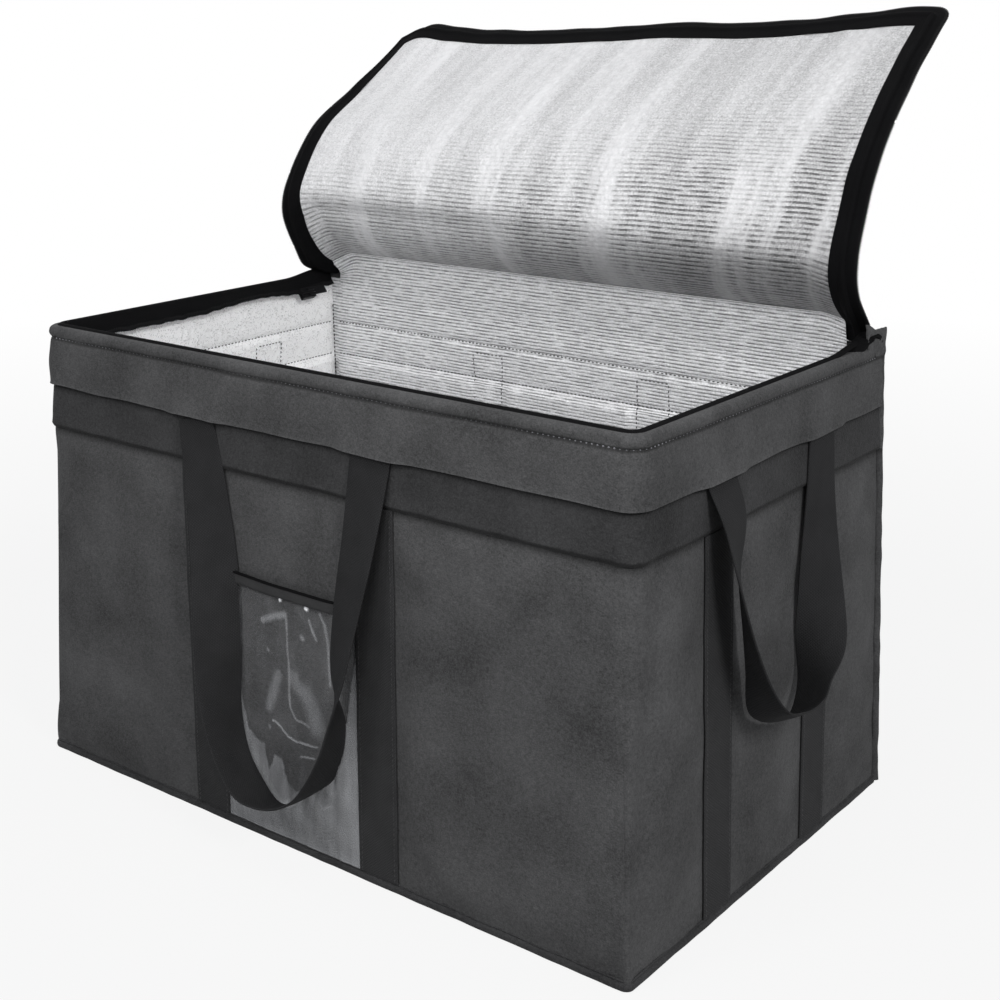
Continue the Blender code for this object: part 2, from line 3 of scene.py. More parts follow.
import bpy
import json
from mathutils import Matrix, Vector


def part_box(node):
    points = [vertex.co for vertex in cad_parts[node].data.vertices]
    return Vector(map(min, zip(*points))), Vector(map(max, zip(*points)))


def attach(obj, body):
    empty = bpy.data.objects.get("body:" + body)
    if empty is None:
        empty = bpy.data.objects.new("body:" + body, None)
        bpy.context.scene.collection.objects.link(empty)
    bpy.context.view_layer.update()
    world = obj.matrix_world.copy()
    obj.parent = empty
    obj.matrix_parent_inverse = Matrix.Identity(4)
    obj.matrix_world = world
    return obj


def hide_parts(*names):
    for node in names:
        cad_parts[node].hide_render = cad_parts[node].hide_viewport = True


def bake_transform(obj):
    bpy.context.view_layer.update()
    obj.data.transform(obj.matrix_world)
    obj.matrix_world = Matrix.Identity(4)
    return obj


bl_info = {
    "name": "Insulated carrier bag",
    "version": (1, 0, 0),
    "blender": (4, 5, 0),
    "location": "3D View > Sidebar > Carrier bag",
    "description": "Builds the fabric, foil, webbing and zipper of an insulated carrier bag on its frame",
    "category": "Add Mesh",
}

import json
import math
from functools import lru_cache

import bpy
import numpy as np
from bpy.props import FloatProperty, FloatVectorProperty, PointerProperty
from mathutils import Matrix, Vector

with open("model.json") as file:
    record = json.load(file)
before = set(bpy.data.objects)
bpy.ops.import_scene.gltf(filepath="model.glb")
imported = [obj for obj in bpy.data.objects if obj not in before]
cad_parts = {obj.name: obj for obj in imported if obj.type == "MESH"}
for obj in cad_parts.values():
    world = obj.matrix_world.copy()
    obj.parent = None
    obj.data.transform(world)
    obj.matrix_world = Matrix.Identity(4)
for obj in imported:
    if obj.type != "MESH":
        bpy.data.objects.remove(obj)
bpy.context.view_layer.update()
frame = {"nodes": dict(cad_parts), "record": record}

PHOTO_PIXELS = 1000


def low(node):
    """Lowest corner of a frame piece's box."""
    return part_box(node)[0]


def high(node):
    """Highest corner of a frame piece's box."""
    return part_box(node)[1]


def frame_points(node):
    """All the corners of a frame piece, as an array."""
    mesh = frame["nodes"][node].data
    flat = np.empty(3 * len(mesh.vertices), np.float32)
    mesh.vertices.foreach_get("co", flat)
    return flat.reshape(-1, 3).astype(float)


def outline_level(node, top):
    """Height, half width and half depth of a frame piece at its top or its foot."""
    points = frame_points(node)
    height = points[:, 2].max() if top else points[:, 2].min()
    level = np.abs(points[np.abs(points[:, 2] - height) < 1e-4])
    return height, level[:, 0].max(), level[:, 1].max()


FOOT_LEVEL = outline_level("front_and_side_cover", False)
TOP_LEVEL = outline_level("front_and_side_cover", True)
RIM = high("rim_band_front_and_sides").z
RIM_SEAM = low("rim_band_front_and_sides").z
STRIPE_TOP = high("stripe_front_and_sides").z
STRIPE_FOOT = low("stripe_front_and_sides").z
RIM_STITCHES = RIM_SEAM + 0.0393
STRAP_STITCHES = STRIPE_FOOT + 0.0275
STITCH_INSET = 0.003
WALL_FOOT = FOOT_LEVEL[0]
WALL_TOP = TOP_LEVEL[0]
BINDING_TOP = high("base_binding").z
POCKET_TOP = high("pocket_film").z
LID_HALF = high("lid_zip_tape_end_4").x


def length_property(name, description, value):
    """One size, in metres."""
    return FloatProperty(name=name, description=description, default=value, unit="LENGTH")


def angle_property(name, description, degrees):
    """One angle, given in degrees."""
    value = math.radians(degrees)
    return FloatProperty(name=name, description=description, default=value, subtype="ANGLE")


class BagSizes(bpy.types.PropertyGroup):
    """Sizes of the cloth, webbing and zipper."""

    corner_radius: length_property("Corner radius", "Radius of the two front corners at the rim", 0.014)
    foot_radius: length_property("Foot radius", "Radius of the two front corners at the foot", 0.004)
    cover: length_property("Cover", "Thickness of the outer cloth", 0.001)
    foam: length_property("Foam", "Thickness of the wall's foam", 0.005)
    lining: length_property("Lining", "Thickness of the foil lining", 0.0008)
    seam_gap: length_property("Layer gap", "Space between two layers", 0.0003)
    bulge: length_property("Bulge", "Furthest that a wall's cloth stands out", 0.0042)
    webbing_width: length_property("Webbing width", "Width of strips and handles", 0.038)
    webbing: length_property("Webbing", "Thickness of the webbing", 0.0016)
    stitch_pitch: length_property("Stitch pitch", "From one stitch to the next", 0.0042)
    stitch_length: length_property("Stitch length", "Length of one stitch that shows", 0.0029)
    thread: length_property("Thread", "Radius of the sewing thread", 0.00038)
    zip_pitch: length_property("Zip pitch", "From one turn of the coil to the next", 0.0018)


def colour_property(name, description, value):
    """Colour of one finish, as linear red, green and blue."""
    return FloatVectorProperty(
        name=name, description=description, default=value, subtype="COLOR", size=3, min=0, max=1
    )


class BagColours(bpy.types.PropertyGroup):
    """Colours of the cloth, foil, webbing and metal."""

    cover: colour_property("Cover", "Charcoal cloth of the walls", (0.070, 0.070, 0.071))
    stripe: colour_property("Stripe", "Darker band under the rim", (0.041, 0.041, 0.042))
    webbing: colour_property("Webbing", "Strips and handles", (0.028, 0.028, 0.029))
    strips: colour_property("Strips", "Webbing strips on the walls", (0.040, 0.040, 0.041))
    binding: colour_property("Binding", "Binding tape and zipper tape", (0.0055, 0.0055, 0.006))
    thread: colour_property("Thread", "Sewing thread", (0.010, 0.010, 0.011))
    foil: colour_property("Foil", "Metallised lining", (0.76, 0.76, 0.77))
    foam: colour_property("Foam", "Foam panels", (0.80, 0.80, 0.82))
    board: colour_property("Board", "Stiff board in the base", (0.09, 0.09, 0.10))
    mouth: colour_property("Pocket mouth", "Tape along the pocket's mouth", (0.055, 0.055, 0.056))
    film: colour_property("Film", "Clear film of the pocket", (0.62, 0.63, 0.65))
    metal: colour_property("Metal", "Zipper sliders and pulls", (0.012, 0.012, 0.013))
    floor: colour_property("Floor", "Floor and backdrop", (0.45, 0.45, 0.45))


class BagStage(bpy.types.PropertyGroup):
    """Where the camera stands, how it is turned and its focal length."""

    azimuth: angle_property("Azimuth", "Camera's turn about the bag from the front", 37.76)
    elevation: angle_property("Elevation", "Camera's height above the level", 17.65)
    roll: angle_property("Roll", "Camera's tilt about its own line of sight", -0.16)
    focal_pixels: FloatProperty(
        name="Focal length", description="Focal length in pixels of the square frame", default=1586.0
    )
    camera: FloatVectorProperty(
        name="Camera", description="Where the camera stands", default=(0.797, -0.963, 0.639),
        subtype="XYZ", size=3, unit="LENGTH",
    )


def sizes():
    return bpy.context.scene.bag_sizes


def colours():
    return bpy.context.scene.bag_colours


# Shapes


def half_size(z, column):
    """Straight line between the cover's foot and top, at height z: width in column 1, depth in 2."""
    share = (z - FOOT_LEVEL[0]) / (TOP_LEVEL[0] - FOOT_LEVEL[0])
    return FOOT_LEVEL[column] + (TOP_LEVEL[column] - FOOT_LEVEL[column]) * share


def half_width(z):
    """Half of the bag's width at height z."""
    return half_size(z, 1)


def half_depth(z):
    """Half of the bag's depth at height z."""
    return half_size(z, 2)


def corner_at(z):
    """Radius of a front corner at height z: it shrinks smoothly from the rim to the foot."""
    size = sizes()
    return size.foot_radius + (size.corner_radius - size.foot_radius) * smooth_step(z, 0.0, 0.30)


def smooth_step(x, start, stop):
    """3t^2 - 2t^3, where t runs from 0 at start to 1 at stop and is held outside."""
    t = np.clip((x - start) / (stop - start), 0, 1)
    return t * t * (3 - 2 * t)


def bump(x, centre, reach):
    """Bell of height 1 at the centre: exp of minus the squared distance over the squared reach."""
    return np.exp(-(((x - centre) / reach) ** 2))


def smooth_curve(knots, values, at):
    """Smooth curve through the values: a cubic between each two knots that takes its slope at a knot
    from the neighbours there."""
    knots = np.asarray(knots, float)
    values = np.asarray(values, float)
    slopes = np.gradient(values, knots, axis=0)
    index = np.clip(np.searchsorted(knots, at) - 1, 0, len(knots) - 2)
    span = (knots[index + 1] - knots[index])[..., None]
    t = ((np.asarray(at) - knots[index]) / span[..., 0])[..., None]
    flat = values if values.ndim > 1 else values[:, None]
    grad = slopes if slopes.ndim > 1 else slopes[:, None]
    curve = (
        (2 * t**3 - 3 * t**2 + 1) * flat[index]
        + (t**3 - 2 * t**2 + t) * span * grad[index]
        + (3 * t**2 - 2 * t**3) * flat[index + 1]
        + (t**3 - t**2) * span * grad[index + 1]
    )
    return curve if values.ndim > 1 else curve[..., 0]


def wave_field(x, y, seed, reach, strands=7):
    """Soft random relief between about -1 and 1: a sum of cosines whose directions, phases and
    lengths come from the seed, with lengths near the given reach."""
    rng = np.random.default_rng(seed)
    angle = rng.uniform(0, math.pi, strands)
    length = reach * rng.uniform(0.6, 1.7, strands)
    phase = rng.uniform(0, 2 * math.pi, strands)
    x = np.asarray(x, float)[..., None]
    y = np.asarray(y, float)[..., None]
    turns = (x * np.cos(angle) + y * np.sin(angle)) / length
    return np.cos(2 * math.pi * turns + phase).sum(-1) / math.sqrt(strands * 2)


# The bag's side is read by a station s, which counts the left wall, front-left corner, front wall,
# front-right corner, right wall and rear wall from 0 to 6, and by the height z.


def segment_lengths():
    """Lengths of the six stretches round the bag at its rim."""
    radius = sizes().corner_radius
    side = 2 * TOP_LEVEL[2] - radius
    front = 2 * (TOP_LEVEL[1] - radius)
    arc = radius * math.pi / 2
    return np.array([side, arc, front, arc, side, 2 * TOP_LEVEL[1]])


def stations(first, last, spacing, corner_steps=8):
    """Station numbers from first to last, about spacing apart along the bag, closer round a corner."""
    runs = []
    for number, length in enumerate(segment_lengths()):
        start = max(first, number)
        stop = min(last, number + 1)
        if stop - start > 1e-9:
            least = corner_steps if number in (1, 3) else 2
            steps = max(int(math.ceil(length * (stop - start) / spacing)), least)
            runs.append(np.linspace(start, stop, steps, endpoint=False))
    return np.append(np.concatenate(runs), last)


def station(wall, across, z):
    """Station of a place on a wall: across to the right as seen from outside, at height z."""
    radius = corner_at(z)
    w = half_width(z)
    d = half_depth(z)
    if wall == "front":
        return 2 + (across + w - radius) / (2 * (w - radius))
    if wall == "right":
        return 4 + (across + d - radius) / (2 * d - radius)
    if wall == "rear":
        return 5 + (across + w) / (2 * w)
    return (across + d) / (2 * d - radius)


def along(s):
    """Distance round the bag from the rear left corner to station s."""
    lengths = segment_lengths()
    return np.interp(s, np.arange(7), np.concatenate([[0], np.cumsum(lengths)]))


def side_points(s, z, out, rear=0.0, end=0.0):
    """Points of the bag's side, out from the cover. Each wall is a straight run from corner to
    corner, and a front corner is a quarter circle: half size - r + r cos, half size - r + r sin.
    The side walls stop short of the rear face by rear, the rear wall short of the sides by end."""
    s, z, out = np.broadcast_arrays(np.asarray(s, float), np.asarray(z, float), np.asarray(out, float))
    w = half_width(z)
    d = half_depth(z)
    x = w + out
    y = d + out
    r = np.maximum(corner_at(z) + out, 0.002)
    left = s < 2.5
    turn = np.clip(np.where(left, s - 1, 4 - s), 0, 1) * math.pi / 2
    arc_x = np.where(left, -1, 1) * (x - r + r * np.cos(turn))
    arc_y = -(y - r + r * np.sin(turn))
    share = np.where(left, s, 5 - s)
    wall_y = (d - rear) + (-(y - r) - (d - rear)) * share
    front_x = (x - r) * (2 * (s - 2) - 1)
    rear_x = (w - end) * (1 - 2 * (s - 5))
    where = [s <= 1, s < 2, s <= 3, s < 4, s <= 5]
    px = np.select(where, [-x, arc_x, front_x, arc_x, x], rear_x)
    py = np.select(where, [wall_y, arc_y, -y, arc_y, wall_y], y)
    return np.stack([px, py, z], axis=-1)


# The outer cloth's relief: it is sewn down at the base, at the stripe's two edges, along the webbing
# strips and at the rear corners, and swells a little between these lines.


def strip_centre(wall, number, z):
    """Middle of a webbing strip at height z, read from the frame piece's own corners."""
    points = frame_points(f"strip_{wall}_{number}")
    axis = 0 if wall in ("front", "rear") else 1
    sign = 1 if wall in ("front", "right") else -1
    heights = points[:, 2]
    ends = []
    for height in (heights.min(), heights.max()):
        level = points[np.abs(heights - height) < 1e-4][:, axis] * sign
        ends.append((height, (level.min() + level.max()) / 2))
    return ends[0][1] + (ends[1][1] - ends[0][1]) * (z - ends[0][0]) / (ends[1][0] - ends[0][0])


WALLS = ("front", "right", "rear", "left")
STRIPS = [(wall, number) for wall in WALLS for number in (1, 2)]
COVER_SPANS = ((0, 5), (5, 6))
SEAMS = (STRIPE_FOOT + 0.0035, RIM_SEAM)


def strip_cover(s, z):
    """1 where a webbing strip holds the cover down, falling to 0 beside it."""
    held = np.zeros(np.broadcast(s, z).shape)
    half = sizes().webbing_width / 2
    for wall in WALLS:
        for number in (1, 2):
            middle = station(wall, strip_centre(wall, number, z), z)
            gap = np.abs(along(s) - along(middle))
            held = np.maximum(held, 1 - smooth_step(gap, half - 0.001, half + 0.004))
    return held * (1 - smooth_step(z, STRIPE_FOOT - 0.002, STRIPE_FOOT + 0.002))


def sewn(s, z):
    """1 on the lines where the cover is sewn down, falling to 0 beside them."""
    held = strip_cover(s, z)
    edge = 0.006
    for height in (BINDING_TOP, STRIPE_FOOT, RIM_SEAM):
        held = np.maximum(held, 1 - smooth_step(np.abs(z - height), 0, edge))
    held = np.maximum(held, z >= RIM_SEAM)
    for corner in (0.0, 5.0, 6.0):
        gap = np.abs(along(s) - along(corner))
        held = np.maximum(held, 1 - smooth_step(gap, 0, edge))
    return held


CLOTH_STIFFNESS = 8.0
CLOTH_DAMPING = 8


def cloth_ring(name, points):
    """Grid of cloth, closed round in its first direction."""
    columns, rows = points.shape[:2]
    index = np.arange(columns * rows).reshape(columns, rows)
    index = np.vstack([index, index[:1]])
    quads = np.stack([index[:-1, :-1], index[1:, :-1], index[1:, 1:], index[:-1, 1:]], axis=-1)
    mesh = bpy.data.meshes.new(name)
    mesh.from_pydata(points.reshape(-1, 3), [], quads.reshape(-1, 4))
    obj = bpy.data.objects.new(name, mesh)
    bpy.context.scene.collection.objects.link(obj)
    return obj


def settle_cloth(name, points, pins, slack, pressure, frames):
    """Points of a ring of cloth after it has swelled under a light pressure, held at its pins."""
    obj = cloth_ring(name, points)
    group = obj.vertex_groups.new(name="sewn")
    weights = pins.reshape(-1)
    for step in range(1, 11):
        level = step / 10
        chosen = np.nonzero(np.abs(weights - level) <= 0.05)[0]
        group.add(chosen.tolist(), level, "REPLACE")
    modifier = obj.modifiers.new("swell", "CLOTH")
    settings = modifier.settings
    settings.quality = 6
    settings.mass = 0.25
    settings.tension_stiffness = CLOTH_STIFFNESS
    settings.compression_stiffness = CLOTH_STIFFNESS
    settings.shear_stiffness = CLOTH_STIFFNESS / 2
    settings.bending_stiffness = 0.6
    settings.tension_damping = CLOTH_DAMPING
    settings.compression_damping = CLOTH_DAMPING
    settings.shear_damping = CLOTH_DAMPING
    settings.shrink_min = -slack
    settings.shrink_max = -slack
    settings.use_pressure = True
    settings.uniform_pressure_force = pressure
    settings.vertex_group_mass = "sewn"
    settings.pin_stiffness = 4
    settings.effector_weights.gravity = 0.0
    modifier.point_cache.frame_start = 1
    modifier.point_cache.frame_end = frames
    for number in range(1, frames + 1):
        bpy.context.scene.frame_set(number)
    depsgraph = bpy.context.evaluated_depsgraph_get()
    result = obj.evaluated_get(depsgraph)
    flat = np.empty(3 * len(result.data.vertices), np.float32)
    result.data.vertices.foreach_get("co", flat)
    bpy.context.scene.frame_set(1)
    bpy.data.objects.remove(obj)
    return flat.reshape(points.shape).astype(float)


@lru_cache(maxsize=None)
def swelled_cover():
    """Stations, heights and relief of the cover after its cloth has settled."""
    spacing = 0.007
    s = stations(0, 6, spacing)[:-1]
    z = np.linspace(BINDING_TOP - 0.004, RIM_SEAM + 0.004, 50)
    points = side_points(s[:, None], z[None, :], 0.0)
    outward = side_points(s[:, None], z[None, :], 0.001) - points
    outward /= np.linalg.norm(outward, axis=-1, keepdims=True)
    pins = np.clip(sewn(s[:, None], z[None, :]), 0, 1)
    start = points + outward * (0.0006 * (1 - pins) * (1 + wave_field(
        along(s)[:, None], z[None, :], 11, 0.05)))[..., None]
    settled = settle_cloth("cover_cloth", start, pins, slack=0.012, pressure=1.2, frames=24)
    moved = np.einsum("ijk,ijk->ij", settled - points, outward)
    moved = (np.roll(moved, 1, 0) + 2 * moved + np.roll(moved, -1, 0)) / 4
    moved[:, 1:-1] = (moved[:, :-2] + 2 * moved[:, 1:-1] + moved[:, 2:]) / 4
    return s, z, np.clip(moved, -0.0012, sizes().bulge)


def behind_handle(s, z):
    """1 between a wall's two strips, where its handle hangs, falling to 0 beyond them."""
    inside = np.zeros(np.broadcast(s, z).shape)
    for wall in WALLS:
        ends = [along(station(wall, strip_centre(wall, number, z), z)) for number in (1, 2)]
        middle = (ends[0] + ends[1]) / 2
        reach = np.abs(ends[1] - ends[0]) / 2
        gap = np.abs(along(s) - middle) - reach
        inside = np.maximum(inside, 1 - smooth_step(gap, 0.0, 0.03))
    return inside


def grid_value(s_values, z_values, table, s, z):
    """Value of a table between its grid lines, by straight lines both ways, round the ring in s."""
    s_values = np.append(s_values, 6.0)
    table = np.vstack([table, table[:1]])
    s, z = np.broadcast_arrays(np.asarray(s, float), np.asarray(z, float))
    column = np.interp(s, s_values, np.arange(len(s_values)))
    row = np.interp(z, z_values, np.arange(len(z_values)))
    i = np.minimum(column.astype(int), len(s_values) - 2)
    j = np.minimum(row.astype(int), len(z_values) - 2)
    p = column - i
    q = row - j
    return (
        table[i, j] * (1 - p) * (1 - q)
        + table[i + 1, j] * p * (1 - q)
        + table[i, j + 1] * (1 - p) * q
        + table[i + 1, j + 1] * p * q
    )


def relief(s, z):
    """How far the cover stands out from its flat wall at a station and height."""
    s, z = np.broadcast_arrays(np.asarray(s, float), np.asarray(z, float))
    value = grid_value(*swelled_cover(), s, z)
    value = value * (1 - 0.5 * behind_handle(s, z))
    for corner in (1.5, 3.5):
        gap = np.abs(along(s) - along(corner))
        value = value + 0.0012 * bump(gap, 0, 0.007) - 0.0016 * bump(gap, 0.019, 0.006)
    edge = smooth_step(z, WALL_FOOT, BINDING_TOP)
    edge = edge * (1 - smooth_step(z, STRIPE_FOOT - 0.004, STRIPE_FOOT + 0.01))
    free = smooth_step(z, WALL_FOOT, BINDING_TOP) * (1 - smooth_step(z, RIM_SEAM - 0.002, RIM_SEAM))
    return np.where(z < STRIPE_FOOT, value * edge, value * np.minimum(edge, free))


# Meshes


def mesh_object(name, points, quads, uv, finish, angle=35):
    """Object of four-sided faces with a map in metres, smooth except across its sharp edges."""
    mesh = bpy.data.meshes.new(name)
    mesh.vertices.add(len(points))
    mesh.vertices.foreach_set("co", np.ascontiguousarray(points, np.float32).ravel())
    mesh.loops.add(quads.size)
    mesh.loops.foreach_set("vertex_index", np.ascontiguousarray(quads, np.int32).ravel())
    mesh.polygons.add(len(quads))
    mesh.polygons.foreach_set("loop_start", np.arange(0, quads.size, 4, dtype=np.int32))
    mesh.update(calc_edges=True)
    layer = mesh.uv_layers.new(name="cloth")
    layer.data.foreach_set("uv", np.ascontiguousarray(uv, np.float32).ravel())
    mesh.materials.append(finish)
    mesh.shade_smooth()
    mesh.set_sharp_from_angle(angle=math.radians(angle))
    obj = bpy.data.objects.new(name, mesh)
    bpy.context.scene.collection.objects.link(obj)
    return obj


def signed_volume(points, quads):
    """Volume inside the faces, negative if they face inwards."""
    a, b, c, d = (points[quads[:, i]] for i in range(4))
    first = np.einsum("ij,ij->i", a, np.cross(b, c))
    second = np.einsum("ij,ij->i", a, np.cross(c, d))
    return (first + second).sum() / 6


def swept_faces(sections, ring):
    """Faces and map of a row of closed cross-sections. The map runs along the row and round the
    section, both in metres. An end is closed by joining point j of a section to point k - 1 - j."""
    count, around = sections.shape[:2]
    index = np.arange(count * around).reshape(count, around)
    index = np.hstack([index, index[:, :1]])
    run = np.linalg.norm(np.diff(sections.mean(1), axis=0), axis=-1)
    u = np.concatenate([[0], np.cumsum(run)])
    loop = np.concatenate([sections[count // 2], sections[count // 2, :1]])
    v = np.concatenate([[0], np.cumsum(np.linalg.norm(np.diff(loop, axis=0), axis=-1))])
    if ring:
        index = np.vstack([index, index[:1]])
        u = np.append(u, u[-1] + np.linalg.norm(sections[0].mean(0) - sections[-1].mean(0)))
    quads = np.stack([index[:-1, :-1], index[1:, :-1], index[1:, 1:], index[:-1, 1:]], axis=-1)
    u0, v0 = np.meshgrid(u[:-1], v[:-1], indexing="ij")
    u1, v1 = np.meshgrid(u[1:], v[1:], indexing="ij")
    uv = np.stack([np.stack(p, -1) for p in ((u0, v0), (u1, v0), (u1, v1), (u0, v1))], axis=-2)
    quads = quads.reshape(-1, 4)
    uv = uv.reshape(-1, 4, 2)
    if not ring:
        half = around // 2
        j = np.arange(half - 1)
        for row, turn in ((0, 1), (count - 1, -1)):
            cap = np.stack([j, j + 1, around - 2 - j, around - 1 - j], axis=-1)[:, ::turn]
            quads = np.vstack([quads, index[row][cap]])
            uv = np.concatenate([uv, np.stack([np.full(cap.shape, u[row]), v[cap]], -1)])
    return quads, uv


def swept(name, sections, finish, ring=False, angle=35):
    """Closed solid through a row of cross-sections, facing outwards."""
    quads, uv = swept_faces(sections, ring)
    points = sections.reshape(-1, 3)
    if signed_volume(points, quads) < 0:
        quads = quads[:, ::-1]
        uv = uv[:, ::-1]
    return mesh_object(name, points, quads, uv, finish, angle)


def layer(name, outer, inner, finish, angle=35):
    """Closed sheet between two grids of the same shape; its columns run along the sheet."""
    return swept(name, np.concatenate([outer, inner[:, ::-1]], axis=1), finish, angle=angle)


def thread_shape(steps=5, around=6):
    """One stitch along X, lying on the XY plane: circles whose radius is a half-ellipse of the
    length, on an arch that dips at both ends."""
    length = sizes().stitch_length
    radius = sizes().thread
    t = np.linspace(-1, 1, steps)
    turn = np.arange(around) * 2 * math.pi / around
    swell = radius * np.sqrt(np.clip(1 - 0.75 * t**2, 0, 1))
    ring = np.stack([np.zeros(around), np.cos(turn), np.sin(turn)], axis=-1)
    sections = ring[None] * swell[:, None, None]
    sections[:, :, 0] += (t * length / 2)[:, None]
    sections[:, :, 2] += (radius * 0.4 - radius * 1.3 * t**2)[:, None]
    return sections


def spread(name, shape, places, finish, angle=60):
    """One closed shape repeated: each copy's points are its place's origin plus its three axes
    times the shape's own coordinates."""
    quads, uv = swept_faces(shape, False)
    points = shape.reshape(-1, 3)
    if signed_volume(points, quads) < 0:
        quads = quads[:, ::-1]
        uv = uv[:, ::-1]
    origins, axes = places
    copies = origins[:, None, :] + np.einsum("pa,nab->npb", points, axes)
    steps = np.arange(len(origins))[:, None, None] * len(points)
    all_quads = (quads[None] + steps).reshape(-1, 4)
    all_uv = np.tile(uv[None], (len(origins), 1, 1, 1)).reshape(-1, 4, 2)
    return mesh_object(name, copies.reshape(-1, 3), all_quads, all_uv, finish, angle)


def places_along(path, normals, pitch, start=0.5):
    """Origins and axes every pitch along a path: X along it, Z along the normals there."""
    run = np.concatenate([[0], np.cumsum(np.linalg.norm(np.diff(path, axis=0), axis=-1))])
    at = np.arange(start * pitch, run[-1] - (1 - start) * pitch, pitch)
    here = np.stack([np.interp(at, run, path[:, i]) for i in range(3)], axis=-1)
    ahead = np.stack([np.interp(at + pitch * 0.3, run, path[:, i]) for i in range(3)], axis=-1)
    behind = np.stack([np.interp(at - pitch * 0.3, run, path[:, i]) for i in range(3)], axis=-1)
    up = np.stack([np.interp(at, run, normals[:, i]) for i in range(3)], axis=-1)
    x = unit(ahead - behind)
    y = unit(np.cross(up, x))
    z = np.cross(x, y)
    return here, np.stack([x, y, z], axis=1)


def unit(vectors):
    return vectors / np.maximum(np.linalg.norm(vectors, axis=-1, keepdims=True), 1e-12)


def join_places(parts):
    return np.concatenate([p[0] for p in parts]), np.concatenate([p[1] for p in parts])


def folded(path, thickness):
    """Closed profile of a folded strip: its outer line, then its inner line back again, each inner
    point a thickness to the right of the way that the line runs."""
    path = np.asarray(path, float)
    ahead = np.gradient(path, axis=0)
    right = unit(np.stack([ahead[:, 1], -ahead[:, 0]], axis=-1))
    return np.concatenate([path, (path + right * thickness)[::-1]])


# Finishes


def clean_tree(material):
    """Empties a material's nodes down to its shader and output, and returns the tree and shader."""
    material.use_nodes = True
    tree = material.node_tree
    tree.nodes.clear()
    output = tree.nodes.new("ShaderNodeOutputMaterial")
    shader = tree.nodes.new("ShaderNodeBsdfPrincipled")
    tree.links.new(shader.outputs["BSDF"], output.inputs["Surface"])
    return tree, shader


def new_finish(name):
    """New material with its tree and its shader."""
    material = bpy.data.materials.new(name)
    return material, *clean_tree(material)


def feed(tree, node, **inputs):
    """Sets a node's inputs, each to a value or to the output that feeds it. A key is the socket's
    name with _ for a space, or i and its number."""
    for key, value in inputs.items():
        by_number = key[0] == "i" and key[1:].isdigit()
        socket = node.inputs[int(key[1:]) if by_number else key.replace("_", " ")]
        if isinstance(value, bpy.types.NodeSocket):
            tree.links.new(value, socket)
        else:
            socket.default_value = value
    return node


def add(tree, kind, settings=None, **inputs):
    """New node with its settings and its inputs."""
    node = tree.nodes.new(kind)
    for key, value in (settings or {}).items():
        setattr(node, key, value)
    return feed(tree, node, **inputs)


def maths(tree, operation, first, second=0.0):
    """Output of one sum."""
    return add(tree, "ShaderNodeMath", {"operation": operation}, i0=first, i1=second).outputs[0]


def times(tree, first, second):
    return maths(tree, "MULTIPLY", first, second)


def minus(tree, first, second):
    return maths(tree, "SUBTRACT", first, second)


def times_plus(tree, first, second, third):
    """The first times the second, plus the third."""
    settings = {"operation": "MULTIPLY_ADD"}
    return add(tree, "ShaderNodeMath", settings, i0=first, i1=second, i2=third).outputs[0]


def smooth_range(tree, value, start, stop, first=0.0, last=1.0):
    """Smooth step from first to last, while the value runs from start to stop."""
    return add(
        tree, "ShaderNodeMapRange", {"interpolation_type": "SMOOTHSTEP"},
        Value=value, From_Min=start, From_Max=stop, To_Min=first, To_Max=last,
    ).outputs[0]


def scaled(tree, colour, factor):
    """The colour times the factor."""
    settings = {"operation": "SCALE"}
    return add(tree, "ShaderNodeVectorMath", settings, i0=colour, Scale=factor).outputs[0]


def group(name, inputs, outputs):
    """New node group with its named sockets, and its inner tree's ends."""
    tree = bpy.data.node_groups.new(name, "ShaderNodeTree")
    for label, kind, default in inputs:
        socket = tree.interface.new_socket(label, in_out="INPUT", socket_type="NodeSocket" + kind)
        if default is not None:
            socket.default_value = default
    for label, kind in outputs:
        tree.interface.new_socket(label, in_out="OUTPUT", socket_type="NodeSocket" + kind)
    source = tree.nodes.new("NodeGroupInput")
    target = tree.nodes.new("NodeGroupOutput")
    return tree, source.outputs, target.inputs


def noise(tree, vector, scale, detail=2.0, roughness=0.5):
    inputs = {"Vector": vector, "Scale": scale, "Detail": detail, "Roughness": roughness}
    return add(tree, "ShaderNodeTexNoise", None, **inputs).outputs["Fac"]


def mix(tree, factor, first, second):
    """Colour from the first, at 0, to the second, at 1."""
    settings = {"data_type": "RGBA"}
    return add(tree, "ShaderNodeMix", settings, i0=factor, i6=first, i7=second).outputs[2]


def ramp(tree, factor, stops):
    """Grey ramp through (place, value) stops."""
    node = tree.nodes.new("ShaderNodeValToRGB")
    elements = node.color_ramp.elements
    for number, (place, value) in enumerate(stops):
        element = elements[number] if number < 2 else elements.new(place)
        element.position = place
        element.color = (value, value, value, 1)
    tree.links.new(factor, node.inputs[0])
    return node.outputs[0]


